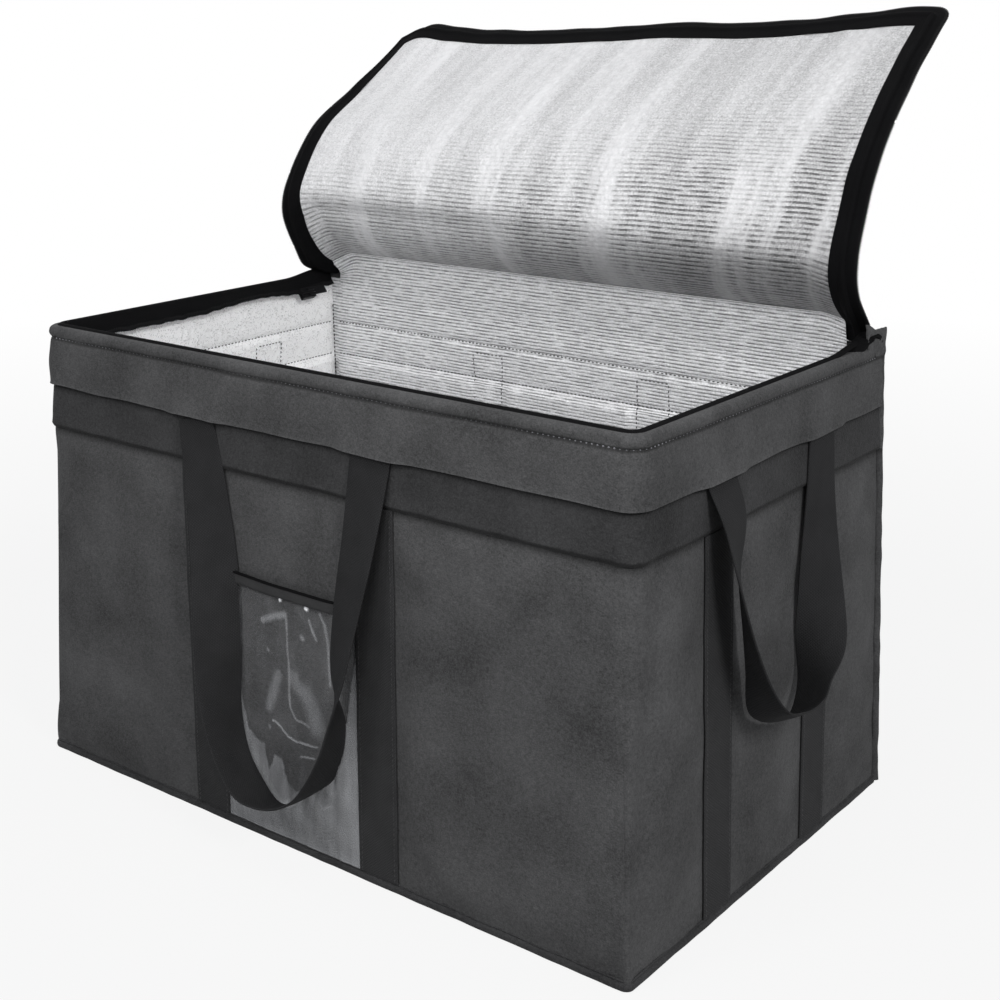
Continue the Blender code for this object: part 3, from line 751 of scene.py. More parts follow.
@lru_cache(maxsize=None)
def felt_group():
    """Felted non-woven cloth: patches, tufts and fine fibres as a colour and a height, with a painted shadow
    just under a seam's height and painted shade along a groove.
    """
    tree, source, target = group(
        "Felted cloth",
        [
            ("Vector", "Vector", None),
            ("Colour", "Color", (0.06, 0.06, 0.06, 1)),
            ("Seam height", "Float", -1.0),
            ("Seam reach", "Float", 0.004),
            ("Groove height", "Float", -1.0),
        ],
        [("Colour", "Color"), ("Height", "Float"), ("Roughness", "Float")],
    )
    vector = source["Vector"]
    patches = noise(tree, vector, 17, 3, 0.5)
    tufts = noise(tree, vector, 330, 4, 0.7)
    grain = noise(tree, vector, 900, 3, 0.7)
    cells = add(tree, "ShaderNodeTexVoronoi", None, Vector=vector, Scale=620.0).outputs["Distance"]
    tuft_value = minus(tree, tufts, 0.5)
    grain_value = minus(tree, grain, 0.5)
    patch_value = minus(tree, patches, 0.5)
    total = times_plus(tree, tuft_value, 1.2, times(tree, grain_value, 1.4))
    total = times_plus(tree, patch_value, 1.3, total)
    factor = maths(tree, "MAXIMUM", maths(tree, "ADD", total, 1.0), 0.25)
    # Painted shadow: the colour darkens just under the seam's height, over its reach. Painted shade darkens
    # it along the groove's height. These stand in for the shadow under a band's edge and the shade in a sewn
    # groove.
    level = add(tree, "ShaderNodeSeparateXYZ", None, Vector=vector).outputs[2]
    level = times_plus(tree, minus(tree, patches, 0.5), 0.004, level)
    below = minus(tree, source["Seam height"], level)
    soft = smooth_range(tree, maths(tree, "DIVIDE", below, source["Seam reach"]), 0.0, 1.0, 1.0, 0.0)
    under = times(tree, soft, maths(tree, "GREATER_THAN", below, -0.0012))
    off = maths(tree, "ABSOLUTE", minus(tree, level, source["Groove height"]))
    groove = smooth_range(tree, off, 0.0004, 0.0026, 1.0, 0.0)
    dark = times_plus(tree, maths(tree, "MAXIMUM", under, groove), -0.55, 1.0)
    factor = times(tree, factor, dark)
    tree.links.new(scaled(tree, source["Colour"], factor), target["Colour"])
    height = times_plus(tree, tufts, 0.7, times(tree, grain, 0.35))
    height = times_plus(tree, cells, 0.35, height)
    tree.links.new(height, target["Height"])
    rough = times_plus(tree, tufts, 0.18, 0.74)
    tree.links.new(rough, target["Roughness"])
    return tree


@lru_cache(maxsize=None)
def rib_group():
    """Woven tape: ribs across its length and finer yarns along it, as a colour and a height."""
    tree, source, target = group(
        "Woven ribs",
        [
            ("Vector", "Vector", None),
            ("Colour", "Color", (0.03, 0.03, 0.03, 1)),
            ("Rib pitch", "Float", 0.0016),
            ("Yarn pitch", "Float", 0.0011),
        ],
        [("Colour", "Color"), ("Height", "Float")],
    )
    parts = add(tree, "ShaderNodeSeparateXYZ", None, Vector=source["Vector"])
    wobble = times(tree, noise(tree, source["Vector"], 160, 2), 0.5)
    turn = 2 * math.pi
    rib = maths(tree, "DIVIDE", parts.outputs[0], source["Rib pitch"])
    yarn = maths(tree, "DIVIDE", parts.outputs[1], source["Yarn pitch"])
    half = maths(tree, "FLOOR", yarn)
    offset = times(tree, maths(tree, "MODULO", half, 2.0), 0.5)
    rib = maths(tree, "ADD", maths(tree, "ADD", rib, offset), wobble)
    rib_wave = maths(tree, "SINE", times(tree, rib, turn))
    yarn_wave = maths(tree, "SINE", times(tree, yarn, turn))
    height = times_plus(tree, rib_wave, 0.3, 0.5)
    height = times_plus(tree, yarn_wave, 0.2, height)
    fibre = noise(tree, source["Vector"], 1500, 2)
    height = times_plus(tree, fibre, 0.25, height)
    tree.links.new(height, target["Height"])
    worn = noise(tree, source["Vector"], 40, 3)
    factor = times_plus(tree, height, 0.55, 0.62)
    factor = times(tree, factor, times_plus(tree, worn, 0.5, 0.75))
    tree.links.new(scaled(tree, source["Colour"], factor), target["Colour"])
    return tree


@lru_cache(maxsize=None)
def foil_group():
    """Ribbed foil: dark level dashes of painted rib shade, row by row, that fade upwards and in painted
    bright crease streaks, with sandy speckles, a painted brightening towards the left and a painted
    shade below a height, as a colour, a height and a roughness."""
    tree, source, target = group(
        "Ribbed foil",
        [
            ("Vector", "Vector", None),
            ("Place", "Vector", None),
            ("Colour", "Color", (0.7, 0.7, 0.71, 1)),
            ("Rib pitch", "Float", 0.0031),
            ("Rib depth", "Float", 1.0),
            ("Fade start", "Float", 10.0),
            ("Fade stop", "Float", 11.0),
            ("Crinkle", "Float", 1.0),
            ("Streak", "Float", 0.0),
            ("Shade start", "Float", -2.0),
            ("Shade stop", "Float", -1.0),
            ("Shade", "Float", 1.0),
        ],
        [("Colour", "Color"), ("Height", "Float"), ("Roughness", "Float")],
    )
    vector = source["Vector"]
    parts = add(tree, "ShaderNodeSeparateXYZ", None, Vector=vector)
    place = add(tree, "ShaderNodeSeparateXYZ", None, Vector=source["Place"])
    level = times_plus(tree, place.outputs[0], -0.16, place.outputs[2])
    fade = smooth_range(tree, level, source["Fade start"], source["Fade stop"], 1.0, 0.06)
    leaning = add(
        tree, "ShaderNodeCombineXYZ", None,
        X=times_plus(tree, parts.outputs[1], -0.10, parts.outputs[0]),
        Y=times(tree, parts.outputs[1], 0.10),
    ).outputs[0]
    # Painted light and shade of the soft creases: bright streaks along a leaning noise, where the painted rib
    # shade and the speckles thin out.
    streak = noise(tree, leaning, 26, 4, 0.6)
    bright = times(tree, smooth_range(tree, streak, 0.48, 0.62), source["Streak"])
    drift = times(tree, noise(tree, vector, 22, 3), 0.20)
    turn = maths(tree, "ADD", maths(tree, "DIVIDE", parts.outputs[1], source["Rib pitch"]), drift)
    row = maths(tree, "FLOOR", maths(tree, "ADD", turn, 0.5))
    wave = maths(tree, "COSINE", times(tree, turn, 2 * math.pi))
    line = smooth_range(tree, wave, -0.35, 0.9)
    dashes = add(
        tree, "ShaderNodeCombineXYZ", None, X=times(tree, parts.outputs[0], 80.0),
        Y=times(tree, row, 7.31),
    ).outputs[0]
    dash = smooth_range(tree, noise(tree, dashes, 1.0, 1), 0.30, 0.60, 0.30)
    seen = times(tree, fade, times_plus(tree, bright, -0.85, 1.0))
    line = times(tree, times(tree, line, dash), source["Rib depth"])
    line = times(tree, line, seen)
    cells = add(tree, "ShaderNodeTexVoronoi", None, Vector=vector, Scale=210.0).outputs["Distance"]
    fine = noise(tree, vector, 480, 4, 0.7)
    sand = noise(tree, vector, 620, 2, 0.6)
    crinkle = times_plus(tree, cells, 0.9, times(tree, fine, 0.8))
    crinkle = times(tree, crinkle, source["Crinkle"])
    height = minus(tree, crinkle, times(tree, line, 1.2))
    tree.links.new(height, target["Height"])
    # Painted shade of the ribs: each rib row darkens the colour in dashes.
    tone = times_plus(tree, line, -0.66, 1.08)
    speck = times(tree, minus(tree, sand, 0.5), source["Crinkle"])
    speck = times(tree, speck, times_plus(tree, bright, -0.7, 1.0))
    tone = times_plus(tree, speck, 1.3, tone)
    # Painted light: the colour brightens towards the left and swings with the crease streaks.
    swing = minus(tree, times_plus(tree, place.outputs[0], -0.6, streak), 0.5)
    tone = times_plus(tree, times(tree, swing, source["Streak"]), 1.1, tone)
    dent = times(tree, minus(tree, cells, 0.33), source["Crinkle"])
    tone = times_plus(tree, dent, -0.22, tone)
    shaded = times_plus(tree, place.outputs[0], -0.12, place.outputs[2])
    shade = smooth_range(
        tree, shaded, source["Shade start"], source["Shade stop"], source["Shade"]
    )
    tone = maths(tree, "MINIMUM", maths(tree, "MAXIMUM", tone, 0.2), 1.3)
    tone = times(tree, tone, shade)
    tree.links.new(scaled(tree, source["Colour"], tone), target["Colour"])
    rough = times_plus(tree, sand, 0.25, 0.38)
    tree.links.new(rough, target["Roughness"])
    return tree


def use_group(tree, pattern, **inputs):
    return add(tree, "ShaderNodeGroup", {"node_tree": pattern}, **inputs)


def bumped(tree, shader, height, distance, strength=1.0):
    """Feeds a height in shares of the distance to the shader's normal."""
    node = add(tree, "ShaderNodeBump", None, Height=height, Distance=distance, Strength=strength)
    tree.links.new(node.outputs["Normal"], shader.inputs["Normal"])


def place_of(tree, source):
    """Object coordinates, or the piece's own map in metres."""
    if source == "object":
        return tree.nodes.new("ShaderNodeTexCoord").outputs["Object"]
    return add(tree, "ShaderNodeUVMap", {"uv_map": "cloth"}).outputs["UV"]


def rgba(colour, share=1.0):
    """The share of a colour, held at 1, and no transparency."""
    return (*(min(c * share, 1.0) for c in colour), 1.0)


def two_tone(tree, factor, key, dark, light):
    """One of the bag's colours, from its dark share at 0 to its light share at 1."""
    colour = getattr(colours(), key)
    return mix(tree, factor, rgba(colour, dark), rgba(colour, light))


@lru_cache(maxsize=None)
def felt_finish(name, key, seam=-1.0, reach=0.004, groove=-1.0):
    """Felted charcoal cloth, with a painted shadow just under a seam's height and painted shade along a sewn
    groove.
    """
    material, tree, shader = new_finish(name)
    node = use_group(
        tree, felt_group(), Vector=place_of(tree, "object"), Colour=rgba(getattr(colours(), key)),
        Seam_height=seam, Seam_reach=reach, Groove_height=groove,
    )
    feed(
        tree, shader, Base_Color=node.outputs["Colour"], Roughness=node.outputs["Roughness"],
        Sheen_Weight=0.03, Sheen_Roughness=0.5, Specular_IOR_Level=0.10,
    )
    bumped(tree, shader, node.outputs["Height"], 0.0008, 0.9)
    return material


@lru_cache(maxsize=None)
def woven_finish(name, key, rib, yarn, roughness=0.7):
    """Woven webbing or tape, its ribs across the piece's own map."""
    material, tree, shader = new_finish(name)
    node = use_group(
        tree, rib_group(), Vector=place_of(tree, "map"), Colour=rgba(getattr(colours(), key)),
        Rib_pitch=rib, Yarn_pitch=yarn,
    )
    feed(
        tree, shader, Base_Color=node.outputs["Colour"], Roughness=roughness,
        Specular_IOR_Level=0.04,
    )
    bumped(tree, shader, node.outputs["Height"], 0.0004)
    return material


@lru_cache(maxsize=None)
def foil_finish(
    name, rib_depth=1.0, crinkle=1.0, pitch=0.0031, fade=(10.0, 11.0), lift=1.0, streak=0.0,
    shade=(-2.0, -1.0, 1.0),
):
    """Metallised lining; lift scales its colour, a painted lightening or darkening of the same foil from
    piece to piece.
    """
    material, tree, shader = new_finish(name)
    node = use_group(
        tree, foil_group(), Vector=place_of(tree, "map"), Place=place_of(tree, "object"),
        Colour=rgba(colours().foil, lift), Rib_pitch=pitch, Rib_depth=rib_depth,
        Fade_start=fade[0], Fade_stop=fade[1], Crinkle=crinkle, Streak=streak,
        Shade_start=shade[0], Shade_stop=shade[1],
        Shade=shade[2],
    )
    feed(
        tree, shader, Base_Color=node.outputs["Colour"], Roughness=node.outputs["Roughness"],
        Metallic=0.35,
    )
    bumped(tree, shader, node.outputs["Height"], 0.0008, 0.7)
    return material


@lru_cache(maxsize=None)
def foam_finish():
    """White closed-cell foam."""
    material, tree, shader = new_finish("closed_cell_foam")
    vector = place_of(tree, "object")
    cells = add(tree, "ShaderNodeTexVoronoi", None, Vector=vector, Scale=420.0).outputs["Distance"]
    shade = ramp(tree, cells, ((0.0, 0.70), (0.6, 0.86)))
    feed(tree, shader, Base_Color=shade, Roughness=0.7)
    bumped(tree, shader, cells, 0.0004)
    return material


@lru_cache(maxsize=None)
def board_finish():
    """Grey hollow board."""
    material, tree, shader = new_finish("stiff_board")
    vector = place_of(tree, "object")
    grain = noise(tree, vector, 260, 4)
    tone = two_tone(tree, grain, "board", 0.8, 1.3)
    feed(tree, shader, Base_Color=tone, Roughness=0.5)
    wave = add(tree, "ShaderNodeTexWave", None, Vector=vector, Scale=80.0)
    bumped(tree, shader, wave.outputs["Fac"], 0.0003)
    return material


@lru_cache(maxsize=None)
def metal_finish():
    """Dark plated metal with worn edges."""
    material, tree, shader = new_finish("dark_plated_metal")
    vector = place_of(tree, "object")
    spots = noise(tree, vector, 500, 4)
    tone = two_tone(tree, spots, "metal", 0.7, 2.2)
    feed(tree, shader, Base_Color=tone)
    rough = times_plus(tree, spots, 0.25, 0.35)
    feed(tree, shader, Roughness=rough, Metallic=0.9, Specular_IOR_Level=0.3)
    bumped(tree, shader, spots, 0.0001)
    return material


@lru_cache(maxsize=None)
def thread_finish(name="sewing_thread", lift=1.0):
    """Twisted sewing thread."""
    material, tree, shader = new_finish(name)
    twist = add(tree, "ShaderNodeTexWave", None, Vector=place_of(tree, "map"), Scale=520.0)
    twist.bands_direction = "DIAGONAL"
    tone = two_tone(tree, twist.outputs["Fac"], "thread", 0.7 * lift, 1.6 * lift)
    feed(tree, shader, Base_Color=tone, Roughness=0.55)
    return material


@lru_cache(maxsize=None)
def coil_finish():
    """Black nylon of the zipper's coil."""
    material, tree, shader = new_finish("nylon_coil")
    spots = noise(tree, place_of(tree, "object"), 700, 3)
    tone = two_tone(tree, spots, "binding", 0.7, 1.3)
    feed(tree, shader, Base_Color=tone, Roughness=0.6, Specular_IOR_Level=0.15)
    return material


@lru_cache(maxsize=None)
def film_finish():
    """Clear soft film: see-through, with painted reflections and highlights where the piece's own attribute
    says so, and white painted glints where that attribute is strongest.
    """
    material, tree, shader = new_finish("clear_film")
    milk = add(tree, "ShaderNodeAttribute", {"attribute_name": "milk"}).outputs["Fac"]
    # Painted glints: the colour turns white where the painted reflection is strongest.
    glint = smooth_range(tree, milk, 0.6, 0.9)
    tone = mix(tree, glint, rgba(colours().film), rgba((1.0, 1.0, 1.0)))
    feed(tree, shader, Base_Color=tone, Roughness=0.10, Specular_IOR_Level=0.22)
    slant = add(tree, "ShaderNodeLayerWeight", None, Blend=0.25).outputs["Facing"]
    alpha = times_plus(tree, slant, 0.05, maths(tree, "ADD", milk, 0.015))
    feed(tree, shader, Alpha=alpha)
    return material


FINISH_OF_SLOT = {
    # Painted shade on the cloth. The cover gets a painted shadow under the stripe's foot and painted shade in
    # the rim band's stitch groove. The stripe gets a painted shadow under the rim band and painted shade
    # along its own rolled foot.
    "cover_fabric": lambda: felt_finish(
        "charcoal_cloth", "cover", seam=STRIPE_FOOT, reach=0.007, groove=RIM_STITCHES
    ),
    "stripe_fabric": lambda: felt_finish(
        "dark_band_cloth", "stripe", seam=RIM_SEAM, reach=0.006, groove=STRIPE_FOOT + 0.0012
    ),
    "webbing": lambda: woven_finish("webbing", "webbing", 0.0022, 0.0013),
    "binding_tape": lambda: woven_finish("binding_tape", "binding", 0.0011, 0.0009, 0.8),
    # The foil's lift of 1.12 is a painted lightening of its colour.
    "foil": lambda: foil_finish("ribbed_foil", 1.0, 0.7, lift=1.12),
    "foam": foam_finish,
    "board": board_finish,
    "clear_film": film_finish,
    "dark_metal": metal_finish,
}


# Layers of the walls


def wall_rows(spacing):
    """Heights of a wall's rows, about spacing apart and closer at the sewn lines."""
    ends = (WALL_FOOT, WALL_TOP)
    rows = np.linspace(*ends, max(int(round((WALL_TOP - WALL_FOOT) / spacing)), 2) + 1)
    seams = [seam + step for seam in SEAMS for step in (-0.0035, -0.0012, 0.0, 0.0012, 0.0035)]
    rows = rows[[min(abs(row - seam) for seam in SEAMS) > 0.0045 or row in ends for row in rows]]
    return np.unique(np.concatenate([rows, seams]))


def wall_layer(name, first, last, inset, thickness, spacing, finish, rear=0.0, end=0.0, ruffle=None):
    """One layer of the walls, following the cover's relief: side points at minus the inset plus the
    relief, and the same again one thickness further in."""
    s = stations(first, last, spacing)[:, None]
    z = wall_rows(spacing)[None, :]
    follow = relief(s, z)
    inward = 0 if ruffle is None else ruffle(s, z)
    outer = side_points(s, z, follow - inset, rear, end)
    inner = side_points(s, z, follow - inset - thickness - inward, rear, end)
    return layer(name, outer, inner, finish)


def foam_layer(name, first, last, inset, thickness, spacing, rear, end):
    """Foam of a wall: its outside follows the lowest and its inside the highest of the cover's relief
    at each place and its four neighbours, so the foam keeps clear of the cloth on both sides."""
    s = stations(first, last, spacing)[:, None]
    z = wall_rows(spacing)[None, :]
    near = [relief(s, z)]
    for step in (-spacing / 2, spacing / 2):
        beside = np.interp(along(s) + step, along(np.linspace(0, 6, 601)), np.linspace(0, 6, 601))
        near.append(relief(np.clip(beside, first, last), z))
        near.append(relief(s, np.clip(z + step, WALL_FOOT, WALL_TOP)))
    outer = side_points(s, z, np.min(near, axis=0) - inset, rear, end)
    nearest = np.minimum(np.max(near, axis=0), np.min(near, axis=0) + 0.003)
    inner = side_points(s, z, nearest - inset - thickness, rear, end)
    return layer(name, outer, inner, foam_finish())


def stripe_bands(name, first, last, rear, end):
    """Darker band sewn round under the rim, its foot a little wavy."""
    size = sizes()
    s = stations(first, last, 0.006)[:, None]
    share = np.linspace(0, 1, 14)[None, :]
    u = along(s)
    foot = STRIPE_FOOT + 0.0005 * wave_field(u, 0 * u, 21, 0.07)
    z = foot + (STRIPE_TOP - foot) * share
    face = size.seam_gap + 0.001 + relief(s, z)
    pillow = 0.0017 * (1 - share) ** 0.7 * smooth_step(share, 0, 0.05)
    pillow = pillow * (1 + 0.35 * wave_field(u, z, 22, 0.05))
    outer = side_points(s, z, face + pillow, rear, end)
    inner = side_points(s, z, face - 0.001, rear, end)
    return layer(name, outer, inner, FINISH_OF_SLOT["stripe_fabric"]())


RIM_PATH = (
    (0.0034, 0.0000), (0.0028, 0.0022), (0.0026, 0.0100), (0.0025, 0.0200), (0.0021, 0.0300),
    (0.0016, 0.0368), (0.0004, 0.0393), (0.0008, 0.0406), (0.0021, 0.0420), (0.0026, 0.0436),
    (0.0025, 0.0452), (0.0018, 0.0466), (0.0003, 0.0475), (-0.0018, 0.0478), (-0.0042, 0.0478),
    (-0.0062, 0.0474), (-0.0074, 0.0462), (-0.0078, 0.0440),
)


def strap_ends(s):
    """1 where a handle's end lies under the rim band, falling to 0 beside it."""
    over = np.zeros(np.shape(s))
    for wall in WALLS:
        for number in (1, 2):
            middle = station(wall, strip_centre(wall, number, RIM_SEAM), RIM_SEAM)
            gap = np.abs(along(s) - along(middle))
            over = np.maximum(over, 1 - smooth_step(gap, 0.0195, 0.038))
    return over


def rim_bands(name, first, last, rear, end):
    """Rim band: a strip folded over the wall tops, sewn 8 mm below its rolled edge, with slow swells
    along its length and a slightly wavy foot."""
    s = stations(first, last, 0.004)
    knots = np.arange(len(RIM_PATH), dtype=float)
    fine = np.linspace(0, len(RIM_PATH) - 1, 3 * (len(RIM_PATH) - 1) + 1)
    path = smooth_curve(knots, RIM_PATH, fine)
    profile = folded(path, 0.0012)
    out = profile[None, :, 0]
    up = profile[None, :, 1]
    u = along(s)[:, None]
    face = bump(up, 0.018, 0.016)
    slow = 0.0014 * (0.6 + 0.4 * wave_field(u, up * 1.5, 31, 0.11)) * face
    quick = 0.0006 * wave_field(u, up, 32, 0.035) * face
    over = strap_ends(s)[:, None]
    lift = 0.0034 * over * (1 - smooth_step(up, 0, 0.024))
    foot = 0.0007 * wave_field(u, 0 * u, 33, 0.06) * (1 - smooth_step(up, 0, 0.012))
    roll = 0.0003 * wave_field(u, 0 * u, 34, 0.03) * smooth_step(up, 0.040, 0.044) * (out > -0.002)
    turn = np.abs(s[:, None] - np.round(s[:, None]))
    flat = 1 - 0.6 * (1 - smooth_step(turn, 0.0, 0.10)) * smooth_step(up, 0.038, 0.042) * (out > 0)
    z = RIM_SEAM + up + foot
    sections = side_points(s[:, None], z, out * flat + slow + quick + roll + lift, rear, end)
    return swept(name, sections, FINISH_OF_SLOT["cover_fabric"]())


def wall_thickness():
    """From a wall's outer face to its lining's face."""
    size = sizes()
    return size.cover + size.seam_gap + size.foam + size.seam_gap + size.lining


def lining_ruffle(s, z):
    """How far the lining stands in: crinkles and a soft swell on both sides of each sewn line, with a
    groove on the line itself. It dies out under the rim and at the foot."""
    u = along(s)
    soft = 0.0008 * (1 + wave_field(u, z * 1.4, 41, 0.06))
    sharp = 0.0004 * np.abs(wave_field(u, z, 42, 0.022))
    groove = 1 - strip_cover(s, z) * 0.6
    low_gap = SEAMS[0] - z
    high_gap = np.abs(z - SEAMS[1])
    swell = 0.0062 * smooth_step(low_gap, 0.0, 0.008) * (1 - smooth_step(low_gap, 0.010, 0.07))
    swell = swell + 0.0012 * (1 - smooth_step(high_gap, 0.004, 0.028))
    groove = groove * smooth_step(np.abs(low_gap), 0.0, 0.005) * smooth_step(high_gap, 0.0, 0.005)
    corner = np.ones(np.shape(u))
    for place in (0.0, 1.5, 3.5, 5.0, 6.0):
        corner = corner * smooth_step(np.abs(u - along(place)), 0.002, 0.012)
    ends = smooth_step(z, BINDING_TOP, BINDING_TOP + 0.012)
    ends = ends * (1 - smooth_step(z, RIM - 0.028, RIM - 0.018))
    return (soft + sharp + swell) * groove * ends * corner


def settle(obj, body, nodes):
    """Rides a piece on its body, in place of the frame pieces that it stands for."""
    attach(obj, body)
    if nodes:
        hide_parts(*nodes)


def refuse_missing(names):
    missing = [n for n in names if n not in frame["nodes"]]
    if missing:
        raise RuntimeError(f"the frame has no piece named {missing}")


class CARRIERBAG_OT_covers(bpy.types.Operator):
    """Outer cloth of the walls and the base"""

    bl_idname = "carrier_bag.covers"
    bl_label = "Covers"

    def execute(self, context):
        refuse_missing(["front_and_side_cover", "rear_cover", "base_cover"])
        size = sizes()
        cloth = FINISH_OF_SLOT["cover_fabric"]()
        rear = size.cover + size.seam_gap
        wrap = wall_layer("cover_front_and_sides", 0, 5, 0, size.cover, 0.0048, cloth, rear=rear)
        settle(wrap, "bag", ["front_and_side_cover"])
        back = wall_layer("cover_rear", 5, 6, 0, size.cover, 0.0055, cloth)
        settle(back, "bag", ["rear_cover"])
        base = base_layer("cover_base", 0.0, low("base_cover").z, high("base_cover").z, 0.0003, cloth)
        settle(base, "bag", ["base_cover"])
        return {"FINISHED"}


def base_layer(name, inset, foot, top, rough, finish, spacing=0.008, seed=51):
    """Level layer of the base: a grid whose width narrows by r - sqrt(r^2 - t^2) within a corner
    radius of the front edge, its top uneven by soft waves that die out at the rim."""
    w = half_width(top) - inset
    d = half_depth(top) - inset
    r = max(corner_at(top) - inset, 0.002)
    columns = int(2 * w / spacing)
    u = np.linspace(-1, 1, columns)[:, None]
    curve = np.linspace(0, math.pi / 2, 7)[:-1]
    v = np.concatenate([-d + r - r * np.cos(curve), np.linspace(-d + r, d, int(2 * d / spacing))])[None, :]
    t = np.clip(-d + r - v, 0, r)
    x = u * (w - (r - np.sqrt(np.maximum(r * r - t * t, 0))))
    y = v + 0 * u
    edge = np.minimum(w - np.abs(x), d - np.abs(y))
    fade = smooth_step(edge, 0.0, 0.02)
    wave = rough * (0.5 + 0.5 * wave_field(x, y, seed, 0.07)) * fade
    upper = np.stack([x, y, top + wave * (foot > 0.002)], axis=-1)
    lower = np.stack([x, y, foot + wave * (foot <= 0.002)], axis=-1)
    return layer(name, upper, lower, finish)


class CARRIERBAG_OT_padding(bpy.types.Operator):
    """Foam panels of the walls and the base, and the stiff board"""

    bl_idname = "carrier_bag.padding"
    bl_label = "Foam and board"

    def execute(self, context):
        refuse_missing(["front_foam", "base_foam", "base_board"])
        size = sizes()
        inset = size.cover + size.seam_gap
        mitre = 0.5
        gap = 0.012
        spans = {
            "left": (0, 1 + mitre - gap), "front": (1 + mitre + gap, 3 + mitre - gap),
            "right": (3 + mitre + gap, 5), "rear": (5, 6),
        }
        for wall, (first, last) in spans.items():
            end = inset if wall == "rear" else 0.0
            rear = inset + size.foam + size.seam_gap
            panel = foam_layer(f"padding_{wall}", first, last, inset, size.foam, 0.007, rear, end)
            settle(panel, "bag", [f"{wall}_foam"])
        foot, top = low("base_foam").z, high("base_foam").z
        inside = inset + size.foam + size.seam_gap + size.lining + size.seam_gap
        pad = base_layer("padding_base", inside, foot, top - 0.0003, 0.0, foam_finish(), 0.02)
        settle(pad, "bag", ["base_foam"])
        return {"FINISHED"}


class CARRIERBAG_OT_lining(bpy.types.Operator):
    """Foil lining of the walls and the base"""

    bl_idname = "carrier_bag.lining"
    bl_label = "Lining"

    def execute(self, context):
        size = sizes()
        inset = size.cover + size.seam_gap + size.foam + size.seam_gap
        mitre = 0.5
        gap = 0.03
        spans = {
            "left": (0, 1 + mitre - gap), "front": (1 + mitre + gap, 3 + mitre - gap),
            "right": (3 + mitre + gap, 5), "rear": (5, 6),
        }
        for wall, (first, last) in spans.items():
            crinkled = wall in ("left", "right")
            # The side walls' foil is lifted to 1.42 and the front and rear walls' foil to 1.12: a painted
            # lightening of the same foil, wall by wall.
            foil = foil_finish(
                "crinkled_foil" if crinkled else "ribbed_foil", 0.06 if crinkled else 1.0,
                1.3 if crinkled else 0.7, lift=1.42 if crinkled else 1.12,
            )
            end = inset if wall == "rear" else 0.0
            rear = inset + size.lining + size.seam_gap
            panel = wall_layer(
                f"foil_{wall}", first, last, inset, size.lining, 0.0045, foil, rear=rear, end=end,
                ruffle=lining_ruffle,
            )
            settle(panel, "bag", [f"{wall}_lining"])
        inside = inset + size.lining + size.seam_gap
        foot, top = low("base_lining").z, high("base_lining").z
        # The base's foil carries the side walls' painted lightening, lift 1.42.
        floor = base_layer(
            "foil_base", inside + 0.0012, foot, top, 0.0022,
            foil_finish("crinkled_foil", 0.06, 1.3, lift=1.42), 0.006, 52
        )
        settle(floor, "bag", ["base_lining"])
        return {"FINISHED"}


class CARRIERBAG_OT_bands(bpy.types.Operator):
    """Rim band and the darker stripe under it"""

    bl_idname = "carrier_bag.bands"
    bl_label = "Bands"

    def execute(self, context):
        gap = sizes().seam_gap
        band = rim_bands("rim_front_and_sides", 0, 5, 0.0, 0.0)
        settle(band, "bag", ["rim_band_front_and_sides"])
        rear = rim_bands("rim_rear", 5, 6, 0.0, gap)
        settle(rear, "bag", ["rim_band_rear"])
        stripe = stripe_bands("stripe_wrap", 0, 5, 0.0, 0.0)
        settle(stripe, "bag", ["stripe_front_and_sides"])
        back = stripe_bands("stripe_back", 5, 6, 0.0, gap)
        settle(back, "bag", ["stripe_rear"])
        return {"FINISHED"}


def webbing_profile(width, thickness, points=9):
    """Half-profile of webbing: across from edge to edge, with the height of its face there, which is
    an ellipse near each edge and flat between."""
    edge = thickness * 0.55
    turn = np.linspace(0, math.pi / 2, 4)
    left = -width / 2 + edge * (1 - np.cos(turn))
    rise = thickness / 2 * (0.25 + 0.75 * np.sin(turn))
    flat = np.linspace(left[-1], -left[-1], points)[1:-1]
    across = np.concatenate([left, flat, -left[::-1]])
    face = np.concatenate([rise, np.full(points - 2, thickness / 2), rise[::-1]])
    return across, face


class CARRIERBAG_OT_strips(bpy.types.Operator):
    """Webbing strips sewn flat up the walls"""

    bl_idname = "carrier_bag.strips"
    bl_label = "Strips"

    def execute(self, context):
        size = sizes()
        across, face = webbing_profile(size.webbing_width, size.webbing)
        for wall in WALLS:
            for number in (1, 2):
                node = f"strip_{wall}_{number}"
                z = np.linspace(low(node).z, high(node).z, 60)[:, None]
                place = strip_centre(wall, number, z) + across[None, :]
                s = station(wall, place, z)
                middle = size.seam_gap + size.webbing / 2 + relief(s, z)
                front = side_points(s, z, middle + face)
                back = side_points(s, z, middle - face)
                sections = np.concatenate([front, back[:, ::-1]], axis=1)
                finish = woven_finish("webbing_strip", "strips", 0.0022, 0.0013)
                strip = swept(f"webbing_{wall}_{number}", sections, finish)
                settle(strip, "bag", [node])
        return {"FINISHED"}


def pocket_edges(z):
    """Left and right edges of the clear pocket at height z, just inside the two front strips."""
    reach = sizes().webbing_width / 2 + sizes().seam_gap
    return strip_centre("front", 1, z) + reach, strip_centre("front", 2, z) - reach


def pocket_bulge(a, b):
    """Relief of the film at shares a across and b up: level between its sewn sides and foot, with
    creases that run down from the mouth and lean together towards the foot."""
    sides = smooth_step(a, 0, 0.13) * smooth_step(1 - a, 0, 0.13)
    foot = (0.06 + 0.94 * smooth_step(b, 0, 0.2)) * (1 + 0.5 * smooth_step(b, 0.8, 1.0))
    lean = a + 0.22 * (a - 0.5) * (1 - b)
    long = np.abs(wave_field(lean * 0.14, b * 0.030, 61, 0.030))
    fine = np.abs(wave_field(lean * 0.14, b * 0.055, 62, 0.014))
    crease = (0.55 * long + 0.25 * fine) * (1 - smooth_step(b, 0.82, 0.97))
    left = 0.35 + 0.65 * smooth_step(a, 0.12, 0.45)
    return sides * foot * (0.0026 + 0.0034 * crease) * left
